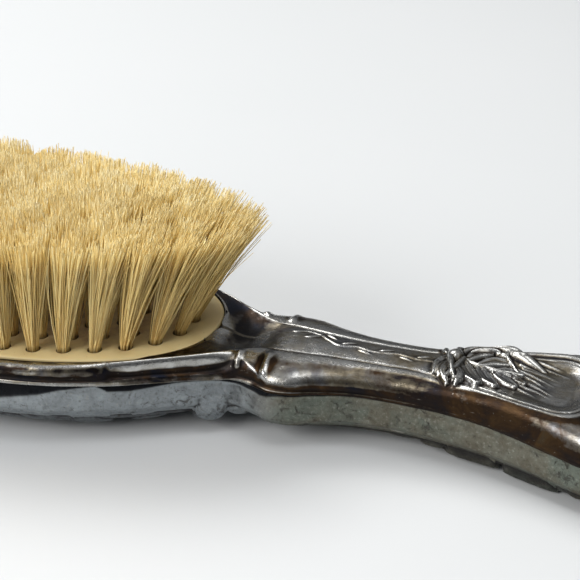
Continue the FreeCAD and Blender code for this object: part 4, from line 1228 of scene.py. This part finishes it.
def metal_frame():
    m, nt, b = mat("tarnished_silver_front")
    g = G(nt)
    p = g.coord()
    tone, warm, wear, cav = g.attr("tone"), g.attr("warm"), g.attr("wear"), g.attr("cav")
    big = g.noise(p, 85, 5, 0.6, 0.6)
    blot = g.noise(p, 270, 7, 0.66, 0.8)
    fine = g.noise(p, 1500, 5, 0.65)
    hue = g.noise(p, 120, 5, 0.62, 1.0)
    # tone is tarnish, plus painted shade under the lip and a painted highlight at the right end of the bowl
    t = g.math("ADD", tone, g.math("MULTIPLY", g.math("SUBTRACT", big, 0.5), 0.70))
    t = g.math("ADD", t, g.math("MULTIPLY", g.math("SUBTRACT", blot, 0.5), 0.62))
    t = g.math("ADD", t, g.math("MULTIPLY", g.math("SUBTRACT", fine, 0.5), 0.22))
    t = g.math("SUBTRACT", t, g.math("MULTIPLY", wear, 0.42))
    t = g.fmap(t, 0.10, 0.92)
    bright = g.mix(g.fmap(blot, 0.35, 0.7), (0.50, 0.50, 0.485), (0.33, 0.32, 0.295))
    mid = g.mix(g.fmap(hue, 0.42, 0.62), (0.185, 0.158, 0.112), (0.140, 0.142, 0.148))
    dark = g.ramp(g.math("ADD", hue, g.math("MULTIPLY", g.math("SUBTRACT", warm, 0.5), 0.26)),
                  [(0.34, (0.010, 0.012, 0.020)), (0.46, (0.018, 0.014, 0.013)), (0.58, (0.032, 0.019, 0.011)),
                   (0.70, (0.056, 0.033, 0.015)), (0.82, (0.045, 0.039, 0.028))])
    c = g.mix(g.fmap(t, 0.05, 0.50), bright, mid)
    c = g.mix(g.fmap(t, 0.46, 0.80), c, dark)
    c = g.mix(g.math("MULTIPLY", cav, 0.8), c, (0.018, 0.016, 0.015))
    # fine bright scuffs along the piece
    sc = g.noise(g.scaled(p, (0.10, 1.0, 1.0)), 2300, 4, 0.65)
    sc2 = g.noise(g.scaled(p, (1.0, 0.16, 1.0)), 1500, 3, 0.6, 0.3)
    scuff = g.math("MAXIMUM", g.fmap(sc, 0.665, 0.73), g.fmap(sc2, 0.70, 0.76))
    c = g.mix(g.math("MULTIPLY", scuff, 0.42), c, (0.42, 0.40, 0.35))
    g.link(c, b.inputs["Base Color"])
    b.inputs["Metallic"].default_value = 1.0
    rough = g.math("ADD", g.fmap(t, 0.0, 1.0, 0.24, 0.40), g.math("MULTIPLY", g.math("SUBTRACT", blot, 0.5), 0.24))
    rough = g.math("ADD", rough, g.math("MULTIPLY", g.math("SUBTRACT", fine, 0.5), 0.20), clamp=True)
    g.link(rough, b.inputs["Roughness"])
    h = g.math("ADD", g.math("MULTIPLY", sc, 0.30), g.math("MULTIPLY", fine, 0.45))
    h = g.math("ADD", h, g.math("MULTIPLY", g.noise(p, 420, 5, 0.6), 0.9))
    g.link(g.bump(h, 0.60, 0.00014), b.inputs["Normal"])
    return m


def metal_back():
    m, nt, b = mat("tarnished_silver_back")
    g = G(nt)
    p = g.coord()
    tone, warm, wear, cav, cove_shade = g.attr("tone"), g.attr("warm"), g.attr("wear"), g.attr("cav"), g.attr("cove_shade")
    big = g.noise(p, 80, 5, 0.6, 0.5)
    blot = g.noise(p, 300, 7, 0.68, 0.7)
    fine = g.noise(p, 1500, 5, 0.65)
    pits = g.fmap(g.math("ADD", g.noise(p, 520, 6, 0.72, 1.0), g.math("MULTIPLY", g.math("SUBTRACT", big, 0.5), 0.35)), 0.585, 0.68)
    cool = g.mix(g.fmap(blot, 0.32, 0.68), (0.34, 0.375, 0.395), (0.22, 0.24, 0.25))
    tan = g.mix(g.fmap(blot, 0.35, 0.66), (0.175, 0.175, 0.140), (0.120, 0.105, 0.074))
    tan = g.mix(g.fmap(big, 0.47, 0.60), tan, (0.142, 0.160, 0.132))
    c = g.mix(warm, cool, tan)
    speck = g.fmap(fine, 0.56, 0.70)
    c = g.mix(g.math("MULTIPLY", speck, 0.55), c, (0.06, 0.05, 0.038))
    lite = g.fmap(fine, 0.44, 0.32)
    c = g.mix(g.math("MULTIPLY", lite, 0.35), c, (0.42, 0.42, 0.37))
    t = g.math("ADD", tone, g.math("MULTIPLY", g.math("SUBTRACT", big, 0.5), 0.4))
    t = g.math("ADD", t, g.math("MULTIPLY", g.math("SUBTRACT", blot, 0.5), 0.35))
    t = g.math("SUBTRACT", t, g.math("MULTIPLY", wear, 0.3))
    # tone darkens the colour: patina in hollows, plus painted shade under the lip and on the underside
    c = g.mix(g.fmap(t, 0.35, 1.0, 0.0, 0.92), c, (0.032, 0.030, 0.030))
    c = g.mix(g.math("MULTIPLY", pits, 0.75), c, (0.055, 0.045, 0.040))
    c = g.mix(g.math("MULTIPLY", cav, 0.8), c, (0.035, 0.032, 0.03))
    # painted shade: near black in the hollow under the lip
    c = g.mix(g.math("MULTIPLY", cove_shade, 0.97), c, (0.008, 0.009, 0.011))
    g.link(c, b.inputs["Base Color"])
    g.link(g.fmap(t, 0.0, 1.0, 0.75, 0.95), b.inputs["Metallic"])
    rough = g.math("ADD", g.fmap(blot, 0.2, 0.8, 0.40, 0.60), g.math("MULTIPLY", g.math("SUBTRACT", fine, 0.5), 0.25), clamp=True)
    g.link(rough, b.inputs["Roughness"])
    sc = g.noise(g.scaled(p, (1.0, 1.0, 0.15)), 1800, 3, 0.6)
    h = g.math("ADD", g.math("MULTIPLY", fine, 0.6), g.math("MULTIPLY", g.noise(p, 480, 6, 0.68), 1.1))
    h = g.math("SUBTRACT", h, g.math("MULTIPLY", pits, 0.9))
    h = g.math("ADD", h, g.math("MULTIPLY", sc, 0.25))
    g.link(g.bump(h, 0.75, 0.0002), b.inputs["Normal"])
    return m


def plate_material():
    m, nt, b = mat("aged_cream_plate")
    g = G(nt)
    p = g.coord()
    hole = g.attr("hole")
    big = g.noise(p, 55, 4, 0.6, 0.4)
    blot = g.noise(p, 330, 5, 0.65, 0.8)
    fine = g.noise(p, 1500, 3, 0.6)
    sep = g.n("ShaderNodeSeparateXYZ"); g.link(p, sep.inputs[0])
    # darker between the tufts, fading to the lighter edge of the plate
    ex = g.math("DIVIDE", g.math("ADD", sep.outputs[0], -CX * MM), (PA - 4.2) * MM)
    ey = g.math("DIVIDE", sep.outputs[1], (PB - 4.2) * MM)
    r = g.math("SQRT", g.math("ADD", g.math("MULTIPLY", ex, ex), g.math("MULTIPLY", ey, ey)))
    field = g.fmap(g.math("ADD", r, g.math("MULTIPLY", g.math("SUBTRACT", blot, 0.5), 0.22)), 0.84, 1.03, 1.0, 0.0)
    base = g.mix(g.fmap(big, 0.35, 0.65), (0.72, 0.58, 0.30), (0.66, 0.52, 0.25))
    between_tufts_colour = g.mix(g.fmap(blot, 0.38, 0.62), (0.40, 0.26, 0.145), (0.55, 0.39, 0.21))
    c = g.mix(g.math("MULTIPLY", field, g.fmap(blot, 0.25, 0.6, 0.95, 0.55)), base, between_tufts_colour)
    spots = g.fmap(g.noise(p, 900, 4, 0.7), 0.66, 0.72)
    c = g.mix(g.math("MULTIPLY", spots, 0.55), c, (0.20, 0.12, 0.06))
    # painted shade: dark brown down the hole walls and on the side edge
    c = g.mix(g.math("MULTIPLY", hole, 0.93), c, (0.06, 0.03, 0.012))
    g.link(c, b.inputs["Base Color"])
    b.inputs["Subsurface Weight"].default_value = 0.12
    b.inputs["Subsurface Radius"].default_value = (0.002, 0.0012, 0.0006)
    g.link(g.fmap(blot, 0.3, 0.7, 0.36, 0.56), b.inputs["Roughness"])
    h = g.math("ADD", g.math("MULTIPLY", blot, 0.7), g.math("MULTIPLY", fine, 0.3))
    g.link(g.bump(h, 0.35, 0.0002), b.inputs["Normal"])
    return m


def bristle_material():
    m, nt, b = mat("blonde_bristle")
    g = G(nt)
    p = g.coord()
    hair, up = g.attr("hair"), g.attr("up")
    n = g.noise(p, 120, 3, 0.5)
    f = g.math("ADD", hair, g.math("MULTIPLY", g.math("SUBTRACT", n, 0.5), 0.35))
    low = g.ramp(f, [(0.05, (0.74, 0.49, 0.165)), (0.5, (0.93, 0.70, 0.285)), (0.95, (0.99, 0.85, 0.44))])
    high = g.ramp(f, [(0.05, (0.72, 0.51, 0.165)), (0.5, (0.87, 0.67, 0.265)), (0.95, (0.96, 0.81, 0.41))])
    c = g.mix(g.fmap(up, 0.02, 0.50), low, high)
    tip = g.ramp(f, [(0.05, (0.52, 0.37, 0.13)), (0.5, (0.72, 0.57, 0.26)), (0.95, (0.88, 0.78, 0.50))])
    c = g.mix(g.fmap(up, 0.93, 1.0), c, tip)
    # painted shade: hairs darken where they go into the plate
    c = g.mix(g.fmap(up, 0.0, 0.05, 0.8, 0.0), c, (0.17, 0.09, 0.03))
    g.link(c, b.inputs["Base Color"])
    b.inputs["Roughness"].default_value = 0.42
    b.inputs["Specular IOR Level"].default_value = 0.55
    return m


def simple(name, base, alt, scale, rough, metallic=0.0, stretch=(1, 1, 1)):
    m, nt, b = mat(name)
    g = G(nt)
    p = g.scaled(g.coord(), stretch)
    n = g.noise(p, scale, 5, 0.6, 0.4)
    g.link(g.mix(g.fmap(n, 0.35, 0.65), base, alt), b.inputs["Base Color"])
    g.link(g.fmap(n, 0.3, 0.7, rough, rough + 0.15), b.inputs["Roughness"])
    b.inputs["Metallic"].default_value = metallic
    g.link(g.bump(n, 0.3, 0.0002), b.inputs["Normal"])
    return m


def put(ob, m):
    ob.data.materials.clear()
    ob.data.materials.append(m)


m_front, m_back = metal_frame(), metal_back()
put(face_frame, m_front); put(back_shell, m_back)
put(plate, plate_material())
m_br = bristle_material()
for o in bristle_rows.values():
    put(o, m_br)
m_wood = simple("beech_stock", (0.42, 0.27, 0.14), (0.55, 0.38, 0.21), 60, 0.5, 0.0, (0.15, 1, 1))
m_veneer = simple("veneer", (0.48, 0.34, 0.20), (0.60, 0.45, 0.28), 70, 0.5, 0.0, (0.12, 1, 1))
m_cement = simple("bedding_cement", (0.55, 0.51, 0.45), (0.66, 0.62, 0.56), 160, 0.8)
m_wire = simple("draw_wire_brass", (0.62, 0.45, 0.18), (0.75, 0.58, 0.28), 500, 0.28, 1.0)


def node_mat(name, m):
    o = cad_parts[name]
    if len(o.material_slots) == 0:
        raise RuntimeError("no slot on " + name)
    for s in o.material_slots:
        s.link = "OBJECT"
        s.material = m


node_mat("brush_stock", m_wood); node_mat("stock_cover", m_veneer)
node_mat("head_filler", m_cement); node_mat("handle_filler", m_cement)
for r in ROWS:
    node_mat("draw_wire_" + r, m_wire)

# ================================================================= ride on the root body, CAD parts hidden
for ob, node, sl in [(face_frame, "face_frame", "silver_plate"), (back_shell, "back_shell", "silver_plate"),
                     (plate, "bristle_plate", "ivory_plate")]:
    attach(ob, "root"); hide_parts(node)
for r, o in bristle_rows.items():
    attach(o, "root"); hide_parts("tuft_row_" + r)

# =================================================================== the studio
fl = new_mesh("studio_floor", [(-3000, -3000, 0), (3000, -3000, 0), (3000, 3000, 0), (-3000, 3000, 0)], [(0, 1, 2, 3)], False)
fm, fnt, fb = mat("pale_floor")
gg = G(fnt)
nn_ = gg.noise(gg.coord(), 3.0, 3, 0.5)
gg.link(gg.mix(gg.fmap(nn_, 0.3, 0.7), (0.62, 0.635, 0.64), (0.65, 0.66, 0.665)), fb.inputs["Base Color"])
fb.inputs["Roughness"].default_value = 0.55
fb.inputs["Specular IOR Level"].default_value = 0.3
put(fl, fm)

world = bpy.data.worlds.new("studio"); bpy.context.scene.world = world
world.use_nodes = True
wnt = world.node_tree
for n_ in list(wnt.nodes):
    wnt.nodes.remove(n_)
wg = G(wnt)
wo = wg.n("ShaderNodeOutputWorld"); wb_ = wg.n("ShaderNodeBackground")
wg.link(wb_.outputs[0], wo.inputs[0])
tc = wg.n("ShaderNodeTexCoord").outputs["Generated"]
sp = wg.n("ShaderNodeSeparateXYZ"); wg.link(tc, sp.inputs[0])
hgt = wg.fmap(sp.outputs[2], 0.0, 1.0)
back = wg.fmap(sp.outputs[1], -0.6, 0.6)
sky = wg.ramp(hgt, [(0.0, (0.035, 0.036, 0.040)), (0.22, (0.06, 0.062, 0.067)), (0.45, (0.20, 0.205, 0.212)),
                    (0.75, (0.40, 0.405, 0.415)), (1.0, (0.50, 0.505, 0.515))])
wg.link(sky, wb_.inputs[0])
wb_.inputs[1].default_value = 1.0


def area(name, loc, target, size, size_y, power, color=(1, 1, 1)):
    l = bpy.data.lights.new(name, "AREA"); l.shape = "RECTANGLE"
    l.size, l.size_y, l.energy, l.color = size, size_y, power, color
    o = bpy.data.objects.new(name, l); bpy.context.scene.collection.objects.link(o)
    o.location = Vector(loc)
    o.rotation_mode = "QUATERNION"
    o.rotation_quaternion = (Vector(target) - Vector(loc)).to_track_quat("-Z", "Y")
    return o


area("key_back_left", (-0.50, 0.34, 0.86), (0, 0, 0), 0.60, 0.45, 8.6, (1.0, 0.995, 0.98))
area("top_soft", (0.25, -0.15, 1.10), (0, 0, 0), 0.50, 0.50, 2.4, (0.98, 0.99, 1.0))
area("front_fill", (-0.62, -0.80, 0.66), (0, 0, 0.01), 0.80, 0.60, 10.5, (1.0, 0.99, 0.98))

# ==================================================================== the camera
PHI, ELEV = math.radians(17.8), math.radians(27.0)
TARGET = Vector((0.012776, 0.051479, 0.0))
DIST = 0.30588
cam_d = bpy.data.cameras.new("camera"); cam = bpy.data.objects.new("camera", cam_d)
bpy.context.scene.collection.objects.link(cam)
cam_d.sensor_width = 36.0
cam_d.lens = 36.0 * 1290.0 / 580.0
fw = Vector((-math.sin(PHI) * math.cos(ELEV), math.cos(PHI) * math.cos(ELEV), -math.sin(ELEV)))
cam.location = TARGET - fw * DIST
cam.rotation_mode = "QUATERNION"
cam.rotation_quaternion = fw.to_track_quat("-Z", "Y")
cam_d.clip_start, cam_d.clip_end = 0.01, 20
bpy.context.scene.camera = cam

bpy.context.scene.view_settings.view_transform = "Standard"
bpy.context.scene.view_settings.look = "None"
